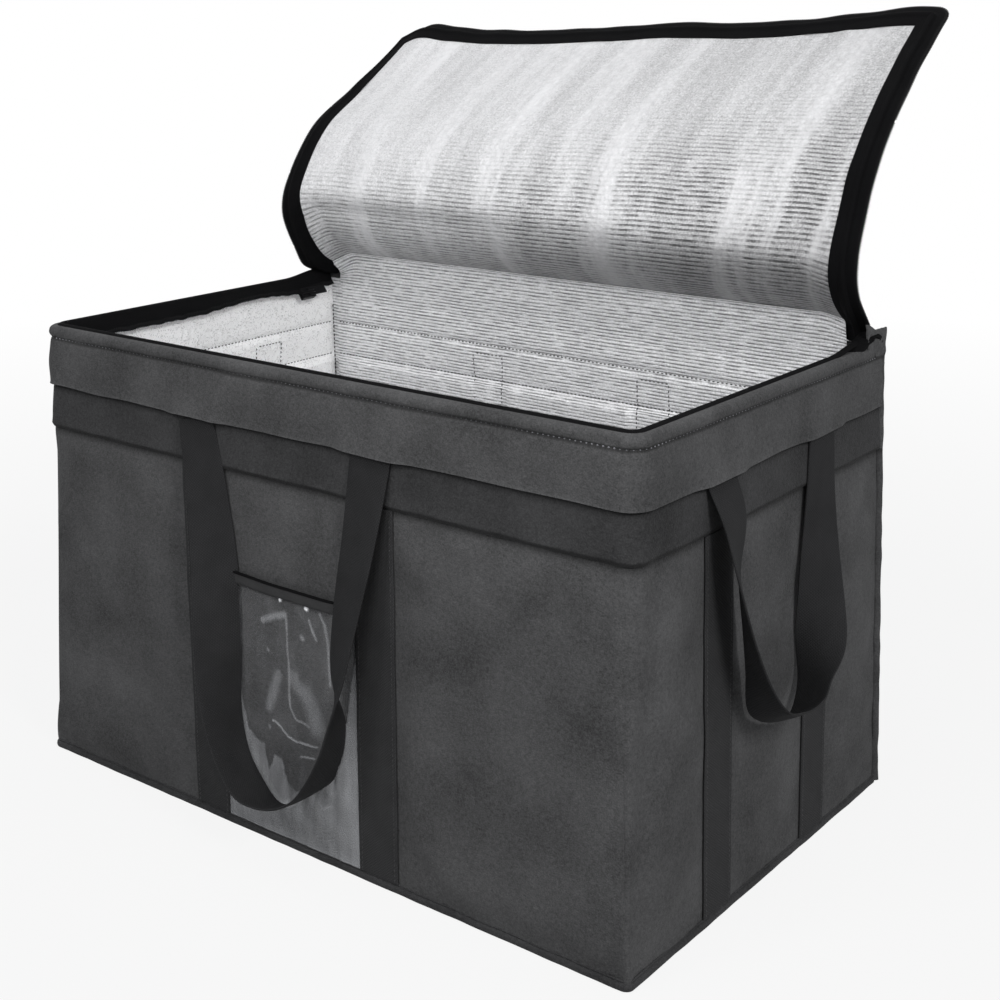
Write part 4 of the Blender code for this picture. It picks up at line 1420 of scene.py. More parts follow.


# Painted highlights along the film's wrinkles, the last two being painted glints: strength, half width,
# and places across from the bag's middle and above the floor, all but the strength in millimetres

FILM_WRINKLE_HIGHLIGHTS = (
    (0.16, 1.3, ((-8, 196), (-6.6, 160), (-5, 123), (1, 114), (15, 112))),
    (0.26, 1.2, ((-24, 107), (-15, 103), (-8, 98), (3, 96), (22, 97))),
    (0.20, 1.2, ((6, 85), (19, 87))),
    (0.12, 13.0, ((10, 138), (19, 126), (22, 114))),
    (0.10, 9.0, ((-2, 148), (4, 140))),
    (0.12, 7.5, ((-18, 145), (-24, 128), (-29, 117))),
    (0.18, 4.4, ((-34, 186), (-22, 192), (-10, 196))),
    (0.20, 1.4, ((15, 198), (18, 191), (22, 183))),
    (0.14, 2.0, ((26, 205), (31, 197), (34, 183), (35, 150))),
    (0.18, 3.6, ((43, 142), (38, 115), (29, 88))),
    (0.26, 1.5, ((22, 57), (30, 50), (40, 55))),
    (0.14, 2.4, ((-29, 163.5), (-28.6, 163))),
    (0.14, 3.6, ((8, 183), (9, 182))),
    (0.14, 2.2, ((-28, 100.5), (-27, 100))),
    (0.90, 1.7, ((-14.6, 207.6), (-14.6, 206.4))),
    (0.90, 2.1, ((12.1, 206.4), (12.9, 206.0))),
)
# Height over the floor up to which the film carries its painted reflection, at places across, in millimetres
PAINTED_REFLECTION_BELOW = (
    (-70, 142), (-64, 134), (-59, 112), (-53, 90), (-46, 86), (-35, 84), (-30, 66), (-25, 70), (-22, 81),
    (-15, 77), (-10, 61), (0, 55), (12, 56), (26, 66), (40, 80), (47, 95), (50, 118), (53, 156), (58, 181),
    (62, 189), (66, 178), (70, 160),
)


def distance_to_line(x, z, places):
    """Distance from each point to a broken line: the least over its stretches of the distance to the
    nearest point of the stretch."""
    places = np.asarray(places, float)
    best = np.full(np.shape(x), np.inf)
    for start, stop in zip(places[:-1], places[1:]):
        run = stop - start
        t = np.clip(((x - start[0]) * run[0] + (z - start[1]) * run[1]) / (run @ run), 0, 1)
        best = np.minimum(best, np.hypot(x - start[0] - t * run[0], z - start[1] - t * run[1]))
    return best


def film_painted_reflection(x, z):
    """Painted reflection of the film at places in metres: over its foot, with an uneven top edge, and painted
    highlights along its wrinkles.
    """
    x, z = x * 1000, z * 1000
    edges = np.asarray(PAINTED_REFLECTION_BELOW, float)
    wander = 1.6 * wave_field(x, z, 63, 9.0)
    depth = np.interp(x, edges[:, 0], edges[:, 1]) + wander - z
    streaks = wave_field(x, z * 0.22, 64, 9.0)
    clouds = wave_field(x, z * 0.6, 65, 26.0)
    milk = smooth_step(depth, -1.0, 2.5) * np.clip(0.185 + 0.035 * streaks + 0.045 * clouds, 0.09, 0.4)
    milk = milk + 0.020 * smooth_step(clouds, -0.1, 0.9) + 0.035 * smooth_step(x, 48, 60)
    for strength, half, places in FILM_WRINKLE_HIGHLIGHTS:
        gap = distance_to_line(x + 0.5 * streaks, z, places)
        line = strength * (1 - smooth_step(gap, (0.3 if half < 3 else 0.1) * half, half))
        milk = np.maximum(milk, line) + 0.25 * np.minimum(milk, line)
    return np.clip(milk, 0, 1)


class CARRIERBAG_OT_pocket(bpy.types.Operator):
    """Clear pocket on the front wall and the tape along its mouth"""

    bl_idname = "carrier_bag.pocket"
    bl_label = "Pocket"

    def execute(self, context):
        size = sizes()
        foot = low("pocket_film").z
        a = np.linspace(0, 1, 150)[:, None]
        b = np.linspace(0, 1, 220)[None, :]
        z = foot + (POCKET_TOP - foot) * b
        left, right = pocket_edges(z)
        s = station("front", left + (right - left) * a, z)
        # Painted reflections and highlights of the film, kept as its own attribute; the film also stands out
        # a little where they lie.
        milk = film_painted_reflection(left + (right - left) * a, z)
        out = size.seam_gap + relief(s, z) + pocket_bulge(a, b) + 0.003 * np.minimum(milk, 0.3) * (milk > 0)
        outer = side_points(s, z, out + 0.0006)
        inner = side_points(s, z, out)
        film = layer("pocket_clear_film", outer, inner, film_finish())
        values = np.concatenate([milk, milk[:, ::-1]], axis=1).astype(np.float32)
        film.data.attributes.new("milk", "FLOAT", "POINT").data.foreach_set("value", values.ravel())
        settle(film, "bag", ["pocket_film"])
        tape_foot = low("pocket_mouth_binding").z
        a = np.linspace(0, 1, 90)
        z = np.linspace(tape_foot, POCKET_TOP, 9)[None, :]
        left, right = pocket_edges(z)
        s = station("front", left + (right - left) * a[:, None], z)
        b = (z - foot) / (POCKET_TOP - foot)
        out = size.seam_gap + relief(s, z) + pocket_bulge(a[:, None], b) + 0.0008
        share = 2 * (z - tape_foot) / (POCKET_TOP - tape_foot) - 1
        round_edge = 0.0007 * np.sqrt(np.clip(1 - share**4, 0, 1))
        outer = side_points(s, z, out + 0.0003 + round_edge)
        inner = side_points(s, z, out)
        mouth = woven_finish("pocket_mouth_tape", "mouth", 0.0011, 0.0009, 0.75)
        tape = layer("pocket_mouth_tape", outer, inner, mouth)
        settle(tape, "bag", ["pocket_mouth_binding"])
        # A piped edge along the mouth's top, made black to stand in for the shadow line above the tape.
        a = np.linspace(0, 1, 90)
        left, right = pocket_edges(POCKET_TOP)
        s = station("front", left + (right - left) * a, POCKET_TOP)
        out = size.seam_gap + relief(s, np.full(90, POCKET_TOP)) + pocket_bulge(a, np.ones(90)) + 0.0012
        turn = np.arange(8) * math.pi / 4
        z = POCKET_TOP + 0.0002 + 0.0010 * np.sin(turn)[None, :]
        edge = side_points(s[:, None], z, out[:, None] + 0.0013 * np.cos(turn)[None, :])
        cord = swept("pocket_mouth_edge", edge, FINISH_OF_SLOT["binding_tape"]())
        settle(cord, "bag", [])
        return {"FINISHED"}


class CARRIERBAG_OT_bindings(bpy.types.Operator):
    """Binding of the bottom edge and the bound seams up the rear corners"""

    bl_idname = "carrier_bag.bindings"
    bl_label = "Bindings"

    def execute(self, context):
        size = sizes()
        tape = felt_finish("base_binding_cloth", "stripe")
        foot = low("base_binding").z
        height = BINDING_TOP - foot
        s = stations(0, 6, 0.006)[:-1]
        u = along(s)[:, None]
        wave = 0.0006 * wave_field(u, 0 * u, 71, 0.05)
        line = np.array([
            (0.0, 0.02), (0.0014, 0.0), (0.0022, 0.20), (0.0024, 0.45), (0.0019, 0.66), (0.0005, 0.78),
            (0.0011, 0.90), (0.0004, 1.0),
        ])
        fine = smooth_curve(np.arange(8.0), line, np.linspace(0, 7, 29))
        profile_out = np.concatenate([fine[:, 0], np.zeros(29)])[None, :] + size.seam_gap
        profile_up = np.concatenate([fine[:, 1], fine[::-1, 1]])[None, :] * height + foot
        top_share = (profile_up - foot) / height
        z = profile_up + wave * top_share
        sections = side_points(s[:, None], z, profile_out + 0.0003 * wave_field(u, 0 * u, 72, 0.03))
        binding = swept("binding_base", sections, tape, ring=True)
        settle(binding, "bag", ["base_binding"])
        for side, name in ((-1, "left"), (1, "right")):
            node = f"corner_cord_rear_{name}"
            post = high(node).z + 0.002
            z = np.linspace(WALL_FOOT + 0.002, post, 124)[:, None]
            turn = np.linspace(0, 2 * math.pi, 16, endpoint=False)[None, :]
            lift = smooth_step(z, post - 0.004, post)
            grow = 1 - 0.35 * lift
            fin = 0.0030 * np.cos(turn) * grow
            thick = 0.0013 * np.sin(turn) * grow
            sway = 0.0005 * wave_field(z, 0 * z, 73 + side, 0.05)
            reach = 0.0026 + 0.0004 * wave_field(z, 0 * z, 75 + side, 0.03)
            corner = math.sqrt(0.5)
            x = side * (half_width(z) + (reach + fin) * corner + (thick + sway) * corner)
            y = half_depth(z) + (reach + fin) * corner - (thick + sway) * corner
            sections = np.stack([x, y, z + 0 * x], axis=-1)
            seam = swept(f"bound_seam_rear_{name}", sections, FINISH_OF_SLOT["cover_fabric"]())
            settle(seam, "bag", [node])
            self.corner_fold(side, name)
        return {"FINISHED"}

    def corner_fold(self, side, name):
        """Cloth folded up at the end of the hinge: a sheet between a slanting foot and a nearly level
        top."""
        u = np.linspace(0, 1, 26)[:, None]
        v = np.linspace(0, 1, 18)[None, :]
        top = 0.4000 - 0.0060 * smooth_step(u, 0.0, 0.5)
        foot = 0.3790 - 0.0250 * smooth_step(u, 0.25, 0.9)
        z = foot + (top - foot) * v
        y = 0.1455 + 0.0305 * u + 0.004 * (1 - v) * (1 - u)
        x = 0.2905 + 0.0022 * u + 0.0006 * wave_field(y * 2, z, 76 + side, 0.012)
        outer = np.stack([side * (x + 0.0011), y, z], axis=-1)
        inner = np.stack([side * (x - 0.0003), y, z], axis=-1)
        fold = layer(f"corner_fold_{name}", outer, inner, FINISH_OF_SLOT["cover_fabric"]())
        lid_bend(fold, 1)


# Handles: places of the webbing's middle line, from the rim seam down and up again. Each has its
# distance to the right of the handle's middle as seen from outside, its drop below the rim seam and
# its distance out from the wall, all in millimetres, then the webbing's turn and its tilt in degrees

LONG_LOOP = (
    (-90.0, 0.0, 2.8, 0, 0), (-74.3, 57.4, 7.4, 13, 4), (-61.4, 114.0, 12.9, 31, 8),
    (-53.2, 167.9, 18.8, 55, 14), (-46.3, 215.1, 24.2, 76, 20), (-32.9, 251.4, 27.3, 83, 22),
    (-13.3, 275.6, 28.5, 78, 20), (8.7, 284.0, 29.1, 80, 20), (33.2, 274.2, 26.5, 83, 0),
    (57.8, 253.3, 23.7, 82, -8), (72.1, 215.4, 20.9, 100, -16), (73.1, 170.7, 20.0, 139, -18),
    (77.9, 117.0, 15.3, 156, -14), (84.8, 59.3, 8.9, 168, -7), (90.0, 0.0, 2.8, 180, 0),
)
SHORT_LOOP = (
    (-73.0, 0.0, 2.8, 0, 0), (-72.1, 28.7, 13.1, 8, 3), (-71.6, 69.0, 16.8, 30, 7),
    (-64.9, 110.4, 20.7, 41, 10), (-54.7, 146.4, 23.4, 54, 15), (-42.1, 172.3, 24.6, 73, 22),
    (-24.5, 184.6, 25.1, 83, 27), (-4.8, 190.4, 26.3, 87, 32), (12.9, 189.6, 27.3, 92, 40),
    (28.1, 177.2, 24.7, 101, 51), (41.3, 156.2, 21.5, 122, 47), (49.8, 126.2, 16.9, 148, 33),
    (56.7, 87.4, 11.6, 164, 21), (64.7, 44.4, 7.0, 176, 10), (73.0, 0.0, 2.8, 180, 0),
)


def handle_sections(wall, places):
    """Webbing along the loop: its middle is the smooth curve through the places, and its width turns
    by the turn from across the wall to straight out of it, then rises by the tilt."""
    size = sizes()
    centre = (strip_centre(wall, 1, RIM_SEAM) + strip_centre(wall, 2, RIM_SEAM)) / 2
    table = np.array(places, float) * [0.001, 0.001, 0.001, math.pi / 180, math.pi / 180]
    count = len(table)
    shape = smooth_curve(np.arange(float(count)), table, np.linspace(0, count - 1, 181))
    middle = wall_place(wall, centre + shape[:, 0], RIM_SEAM - 0.0005 - shape[:, 1], shape[:, 2])
    side = wall_place(wall, 1.0, 0.2, 0.0) - wall_place(wall, 0.0, 0.2, 0.0)
    outward = wall_place(wall, 0.0, 0.2, 1.0) - wall_place(wall, 0.0, 0.2, 0.0)
    turn = shape[:, 3:4]
    tilt = shape[:, 4:5]
    level = outward * np.sin(turn) - side * np.cos(turn)
    width = level * np.cos(tilt) + np.array([0, 0, 1.0]) * np.sin(tilt)
    tangent = unit(np.gradient(middle, axis=0))
    width = unit(width - tangent * np.einsum("ij,ij->i", width, tangent)[:, None])
    normal = unit(np.cross(tangent, width))
    half, face = webbing_profile(size.webbing_width, size.webbing)
    cup = 0.0012 * (half / half[-1]) ** 2 * np.sin(math.pi * np.linspace(0, 1, len(middle)))[:, None] ** 2
    core = middle[:, None] + width[:, None] * half[None, :, None] - normal[:, None] * cup[..., None]
    front = core + normal[:, None] * face[None, :, None]
    back = core - normal[:, None] * face[None, :, None]
    return np.concatenate([front, back[:, ::-1]], axis=1), middle


def wall_place(wall, across, z, out):
    """Point on a flat wall: across to the right as seen from outside, at height z, out from it."""
    across, z, out = np.broadcast_arrays(across, z, out)
    x = half_width(z) + out
    y = half_depth(z) + out
    return {
        "front": np.stack([across, -y, z], axis=-1),
        "rear": np.stack([-across, y, z], axis=-1),
        "left": np.stack([-x, -across, z], axis=-1),
        "right": np.stack([x, across, z], axis=-1),
    }[wall]


class CARRIERBAG_OT_handles(bpy.types.Operator):
    """Four loose webbing handles"""

    bl_idname = "carrier_bag.handles"
    bl_label = "Handles"

    def execute(self, context):
        for wall in WALLS:
            node = f"handle_{wall}"
            places = LONG_LOOP if wall in ("front", "rear") else SHORT_LOOP
            sections, middle = handle_sections(wall, places)
            loop = swept(f"webbing_handle_{wall}", sections, FINISH_OF_SLOT["webbing"]())
            settle(loop, node, [node])
        return {"FINISHED"}


# Lid: one surface read by x across and l along from its hinge, both in shares, and a depth from its
# outside towards the foil

LEFT_EDGE = (
    (0.000, 0.1655, 0.3842), (0.085, 0.1400, 0.3875), (0.130, 0.1275, 0.3945), (0.170, 0.1200, 0.4070),
    (0.230, 0.1100, 0.4255), (0.290, 0.1045, 0.4450), (0.345, 0.1070, 0.4630), (0.400, 0.1170, 0.4810),
    (0.480, 0.1330, 0.5040), (0.560, 0.1520, 0.5230), (0.660, 0.1810, 0.5400), (0.780, 0.2160, 0.5590),
    (0.900, 0.2510, 0.5770), (1.000, 0.2830, 0.5960),
)
RIGHT_EDGE = (
    (0.000, 0.1655, 0.3842), (0.085, 0.1560, 0.3990), (0.130, 0.1470, 0.4080), (0.170, 0.1385, 0.4170),
    (0.230, 0.1300, 0.4330), (0.290, 0.1290, 0.4500), (0.345, 0.1320, 0.4660), (0.400, 0.1380, 0.4830),
    (0.480, 0.1480, 0.5080), (0.560, 0.1590, 0.5260), (0.660, 0.1800, 0.5520), (0.780, 0.2080, 0.5790),
    (0.900, 0.2380, 0.6020), (1.000, 0.2690, 0.6250),
)
EDGE_DEPTH = 0.005

# How far the free edge rises above the line between its corners, at shares across
FREE_EDGE_SHARES = (0.0, 0.03, 0.0625, 0.125, 0.1875, 0.25, 0.375, 0.5, 0.5625, 0.625, 0.75, 0.8125, 0.875,
                    0.9375, 1.0)
FREE_EDGE_RISE = (0.0008, 0.0070, 0.0132, 0.0100, 0.0060, 0.0038, 0.0022, 0.0026, 0.0032, 0.0014, 0.0000,
                  0.0012, 0.0032, 0.0055, 0.0042)


# Middle of the lid near its hinge: it stands up a little before it folds forward
MIDDLE_EDGE = (
    (0.000, 0.1655, 0.3842), (0.030, 0.1645, 0.3930), (0.060, 0.1625, 0.4010), (0.085, 0.1585, 0.4050),
    (0.110, 0.1500, 0.4100), (0.140, 0.1395, 0.4170), (0.170, 0.1305, 0.4250), (0.200, 0.1240, 0.4335),
    (0.230, 0.1200, 0.4420), (0.260, 0.1182, 0.4500), (0.300, 0.1178, 0.4595), (0.345, 0.1195, 0.4685),
    (0.400, 0.1275, 0.4830), (1.000, 0.2760, 0.6105),
)


def lid_edge(knots, l):
    table = np.asarray(knots)
    return smooth_curve(table[:, 0], table[:, 1:], l)


def lid_middle(x, l):
    """Surface of the lid's edge plane: at each share along, a straight line between its two side
    edges, with the free edge's waves, a crown across its width and soft slanting creases."""
    x, l = np.broadcast_arrays(np.asarray(x, float), np.asarray(l, float))
    share = (x / LID_HALF + 1) / 2
    left = lid_edge(LEFT_EDGE, l)
    right = lid_edge(RIGHT_EDGE, l)
    yz = left * (1 - share[..., None]) + right * share[..., None]
    inner = np.clip(1 - np.abs(x / LID_HALF), 0, 1)
    fold = (smooth_step(inner, 0.0, 0.15) * (1 - smooth_step(l, 0.24, 0.40)))[..., None]
    yz = yz * (1 - fold) + lid_edge(MIDDLE_EDGE, np.minimum(l, 0.40)) * fold
    free = smooth_step(l, 0.66, 1.0)
    rise = smooth_curve(FREE_EDGE_SHARES, FREE_EDGE_RISE, share)
    slant = x + l * 0.05
    crease = 0.0020 * wave_field(slant, l * 0.05, 81, 0.10)
    crease = crease + 0.0008 * wave_field(slant, l * 0.09, 82, 0.045)
    held = smooth_step(l, 0.20, 0.45) * smooth_step(inner, 0.0, 0.16)
    held = held * (1 - 0.75 * smooth_step(l, 0.85, 1.0))
    crown = 0.006 * smooth_step(inner, 0, 0.7) * smooth_step(l, 0.15, 0.45)
    crown = crown * (1 - smooth_step(l, 0.6, 0.95))
    y = yz[..., 0] + (crease - crown) * held
    z = yz[..., 1] + rise * free + 0.4 * crease * held
    return np.stack([x, y, z], axis=-1)


def lid_points(x, l, depth):
    """Points of the lid at a depth from its outside: the middle surface moved along its own normal,
    which is the cross product of its two slopes."""
    x, l, depth = (a.astype(float) for a in np.broadcast_arrays(x, l, depth))
    step = 0.002
    l_mid = np.clip(l, step, 1 - step)
    across = lid_middle(x + step, l_mid) - lid_middle(x - step, l_mid)
    along_lid = lid_middle(x, l_mid + step) - lid_middle(x, l_mid - step)
    normal = unit(np.cross(across, along_lid))
    beyond = np.minimum(l, 0) + np.maximum(l - 1, 0)
    base = lid_middle(x, np.clip(l, 0, 1)) + along_lid / (2 * step) * beyond[..., None]
    return base + normal * (depth - EDGE_DEPTH)[..., None] * lid_side()


@lru_cache(maxsize=None)
def lid_side():
    """1 if the normals of the lid's surface face the foil side, which is the front and the top."""
    x = np.zeros(1)
    l = np.full(1, 0.5)
    step = 0.002
    across = lid_middle(x + step, l) - lid_middle(x - step, l)
    along_lid = lid_middle(x, l + step) - lid_middle(x, l - step)
    return 1.0 if np.cross(across, along_lid)[0, 1] < 0 else -1.0


LID_CUTS = (0.0, 0.185, 0.40, 0.645, 1.0)
LID_LENGTH = 0.331
LID_BORDER = 0.0205
LID_FOIL_HALF = LID_HALF - LID_BORDER + 0.0015
LID_CLOTH_HALF = LID_HALF - 0.0118
LID_BEND_SHARES = (0.24, 0.46, 0.71)


def lid_rows(first, last, spacing):
    """Shares along the lid from first to last, with two close rows at each end so that the shading
    carries over from one length to the next."""
    steps = max(int(round((last - first) * LID_LENGTH / spacing)), 2)
    rows = np.linspace(first, last, steps + 1)
    tiny = 0.0006 / LID_LENGTH
    return np.sort(np.concatenate([rows, [first + tiny, last - tiny]]))


def lid_bend(obj, number):
    """Bakes a piece of the lid's place into its points; it bends nothing. For a length past the first
    it also works out the lid's middle, slope and width way at its lower hinge, which nothing uses."""
    if number == 1:
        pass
    else:
        share = LID_BEND_SHARES[number - 2]
        x = np.zeros(1)
        here = lid_middle(x, np.array([share]))[0]
        slope = lid_middle(x, np.array([share + 0.02]))[0] - lid_middle(x, np.array([share - 0.02]))[0]
        across = lid_middle(x + 0.2, np.array([share]))[0] - lid_middle(x - 0.2, np.array([share]))[0]
        across = across / np.linalg.norm(across)
        slope = slope - across * slope.dot(across)
        slope = slope / np.linalg.norm(slope)
    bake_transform(obj)


def lid_panel(name, number, half, depth, thickness, spacing, finish, margin=0.0):
    """One length of a layer of the lid."""
    first, last = LID_CUTS[number - 1], LID_CUTS[number]
    if number == 4:
        last = 1 - (LID_BORDER - 0.0015 + margin) / LID_LENGTH
    rows = lid_rows(first, last, spacing)
    x = np.linspace(-half, half, int(2 * half / spacing))
    outer = lid_points(x[:, None], rows[None, :], depth)
    inner = lid_points(x[:, None], rows[None, :], depth + thickness)
    panel = layer(name, inner, outer, finish)
    before = lid_points(0.0, np.linspace(0, first, 60), depth + thickness)
    shift_map(panel, float(np.linalg.norm(np.diff(before, axis=0), axis=-1).sum()))
    return panel


def shift_map(obj, distance):
    """Moves a piece's map on by a distance, so that a pattern carries over from the piece before."""
    data = obj.data.uv_layers["cloth"].data
    flat = np.empty(2 * len(data), np.float32)
    data.foreach_get("uv", flat)
    flat[1::2] += distance
    data.foreach_set("uv", flat)


BORDER_PROFILE = (
    (0.0002, 0.0052), (0.0004, 0.0046), (0.0020, 0.0043), (0.0050, 0.0042), (0.0074, 0.0038),
    (0.0088, 0.0024), (0.0100, 0.0016), (0.0118, 0.0013), (0.0150, 0.0060), (0.0208, 0.0072),
    (0.0211, 0.0076), (0.0208, 0.0081), (0.0190, 0.0086), (0.0150, 0.0088), (0.0134, 0.0091),
    (0.0122, 0.0100), (0.0108, 0.0104), (0.0094, 0.0098), (0.0086, 0.0082), (0.0080, 0.0066),
    (0.0070, 0.0060), (0.0040, 0.0059), (0.0010, 0.0058), (0.0002, 0.0056),
)


def border_path(first, last, side):
    """Path of the border in the lid's plane, as places x and l in metres and the inward way there:
    up one side between two shares, or round the free end with its two corners."""
    half = LID_HALF
    length = LID_LENGTH
    if side:
        l = np.linspace(first * length, last * length, max(int((last - first) * length / 0.004), 3))
        x = np.full(len(l), side * half)
        inward = np.stack([np.full(len(l), -side), np.zeros(len(l))], axis=-1)
        return x, l, inward
    r = 0.012
    up = np.linspace(first * length, length - r, max(int((length - r - first * length) / 0.004), 3))
    turn = np.linspace(0, math.pi / 2, 10)[1:-1]
    top = np.linspace(-half + r, half - r, 130)
    x = np.concatenate([
        np.full(len(up), -half), -half + r - r * np.cos(turn), top, half - r + r * np.sin(turn),
        np.full(len(up), half),
    ])
    l = np.concatenate([
        up, length - r + r * np.sin(turn), np.full(len(top), length), length - r + r * np.cos(turn), up[::-1],
    ])
    inward = np.concatenate([
        np.tile([1.0, 0.0], (len(up), 1)), np.stack([np.cos(turn), -np.sin(turn)], -1),
        np.tile([0.0, -1.0], (len(top), 1)), np.stack([-np.sin(turn), -np.cos(turn)], -1),
        np.tile([-1.0, 0.0], (len(up), 1)),
    ])
    return x, l, inward


def border_sections(path, profile):
    """Profile carried along a border path: each point is the path's place plus its distance inward,
    at its own depth in the lid."""
    x, l, inward = path
    profile = np.asarray(profile)
    px = x[:, None] + inward[:, None, 0] * profile[None, :, 0]
    pl = l[:, None] + inward[:, None, 1] * profile[None, :, 0]
    ripple = 0.0006 * wave_field(px, pl, 91, 0.04)
    return lid_points(px, pl / LID_LENGTH, profile[None, :, 1] + ripple)


def coil_tooth():
    """One turn of the zipper's coil: a round bar across the tape, arched and rounded at its ends."""
    t = np.linspace(-1, 1, 5)
    turn = np.arange(6) * 2 * math.pi / 6
    radius = 0.00062 * np.sqrt(np.clip(1.15 - t**4, 0.12, 1))
    ring = np.stack([np.cos(turn), np.zeros(6), np.sin(turn)], axis=-1)
    sections = ring[None] * radius[:, None, None] * [1.0, 1.0, 1.25]
    sections[:, :, 1] += (t * 0.0022)[:, None]
    return sections


def foil_fold(finish):
    """Foil that goes on up from the rear wall's lining to the lid's fold: straight lines across the bag,
    along a smooth curve past the rim's inner edge and up the lid's first stretch."""
    x = np.linspace(-LID_FOIL_HALF, LID_FOIL_HALF, 120)
    low_z = np.array([RIM - 0.032, RIM - 0.022, RIM - 0.012, RIM - 0.004])
    low_y = half_depth(low_z) - np.array([0.0078, 0.0084, 0.0094, 0.0104])
    across = np.broadcast_to(x[:, None], (120, 4))
    wall = np.stack([across, np.tile(low_y, (120, 1)), np.tile(low_z, (120, 1))], -1)
    depth = np.array([[0.0112, 0.0098, 0.0084, 0.0080]])
    lid = lid_points(x[:, None], np.array([[0.020, 0.050, 0.078, 0.092]]), depth)
    knots = np.concatenate([wall, lid], axis=1)
    at = np.linspace(0, 7, 48)
    face = smooth_curve(np.arange(8.0), knots.transpose(1, 0, 2).reshape(8, -1), at).reshape(48, 120, 3)
    face = face.transpose(1, 0, 2)
    face[..., 1] += 0.0005 * wave_field(face[..., 0], face[..., 2], 95, 0.05)
    slope = unit(np.gradient(face, axis=1))
    back = np.stack([np.zeros(slope.shape[:2]), slope[..., 2], -slope[..., 1]], axis=-1)
    return layer("foil_fold", face, face + back * 0.0006, finish)


class CARRIERBAG_OT_lid(bpy.types.Operator):
    """Lid in its four lengths: cover, foam, foil and zipper border"""

    bl_idname = "carrier_bag.lid"
    bl_label = "Lid"

    def execute(self, context):
        size = sizes()
        cloth = FINISH_OF_SLOT["cover_fabric"]()
        # The lid's foil is a copy darkened by lift 0.82, with painted crease light and a painted shade low on
        # the lid.
        foil = foil_finish(
            "ribbed_foil_lid", crinkle=0.9, pitch=0.0039, fade=(0.45, 0.55), lift=0.82, streak=1.0,
            shade=(0.408, 0.462, 0.55),
        )
        tape = FINISH_OF_SLOT["binding_tape"]()
        inner = LID_FOIL_HALF
        fold = foil_fold(FINISH_OF_SLOT["foil"]())
        lid_bend(fold, 1)
        for number in (1, 2, 3, 4):
            cover = lid_panel(
                f"lid_cloth_{number}", number, LID_CLOTH_HALF, 0.0, size.cover, 0.006, cloth, -0.0085
            )
            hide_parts(f"lid_cover_{number}")
            lid_bend(cover, number)
            pad = lid_panel(
                f"lid_padding_{number}", number, inner - 0.002, size.cover + size.seam_gap, size.foam,
                0.010, foam_finish(), 0.002,
            )
            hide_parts(f"lid_foam_{number}")
            lid_bend(pad, number)
            depth = size.cover + 2 * size.seam_gap + size.foam
            face = lid_panel(f"lid_foil_{number}", number, inner, depth, size.lining, 0.0045, foil)
            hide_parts(f"lid_lining_{number}")
            lid_bend(face, number)
            first, last = LID_CUTS[number - 1], LID_CUTS[number]
            runs = (("left", -1), ("right", 1)) if number < 4 else (("end", 0),)
            for name, side in runs:
                path = border_path(first, last, side)
                sections = border_sections(path, BORDER_PROFILE)
                border = swept(f"lid_border_{name}_{number}", sections, tape)
                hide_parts(f"lid_zip_tape_{name}_{number}")
                lid_bend(border, number)
                line = border_sections(path, [(0.0012, 0.0052), (0.0012, 0.0040)])
                up = unit(line[:, 1] - line[:, 0])
                places = places_along(line[:, 0], up, size.zip_pitch)
                teeth = spread(f"lid_zip_teeth_{name}_{number}", coil_tooth(), places, coil_finish())
                lid_bend(teeth, number)
        return {"FINISHED"}


# Body's zipper tape, as inset from the cover and height over the rim, from its sewn edge on top of the
# rim to its free edge inside

TAPE_PATH = (
    (0.0022, 0.0006), (0.0036, 0.0018), (0.0056, 0.0026), (0.0078, 0.0018), (0.0096, -0.0012),
    (0.0116, -0.0052), (0.0138, -0.0096), (0.0158, -0.0136),
)


# Middle line of the zipper's right folded end, from the body's tape up and over to the lid's border
TAIL_PATH = (
    (0.2830, 0.1290, 0.3772), (0.2850, 0.1420, 0.3826), (0.2862, 0.1530, 0.3868),
    (0.2868, 0.1610, 0.3885), (0.2885, 0.1680, 0.3872), (0.2898, 0.1722, 0.3838),
)


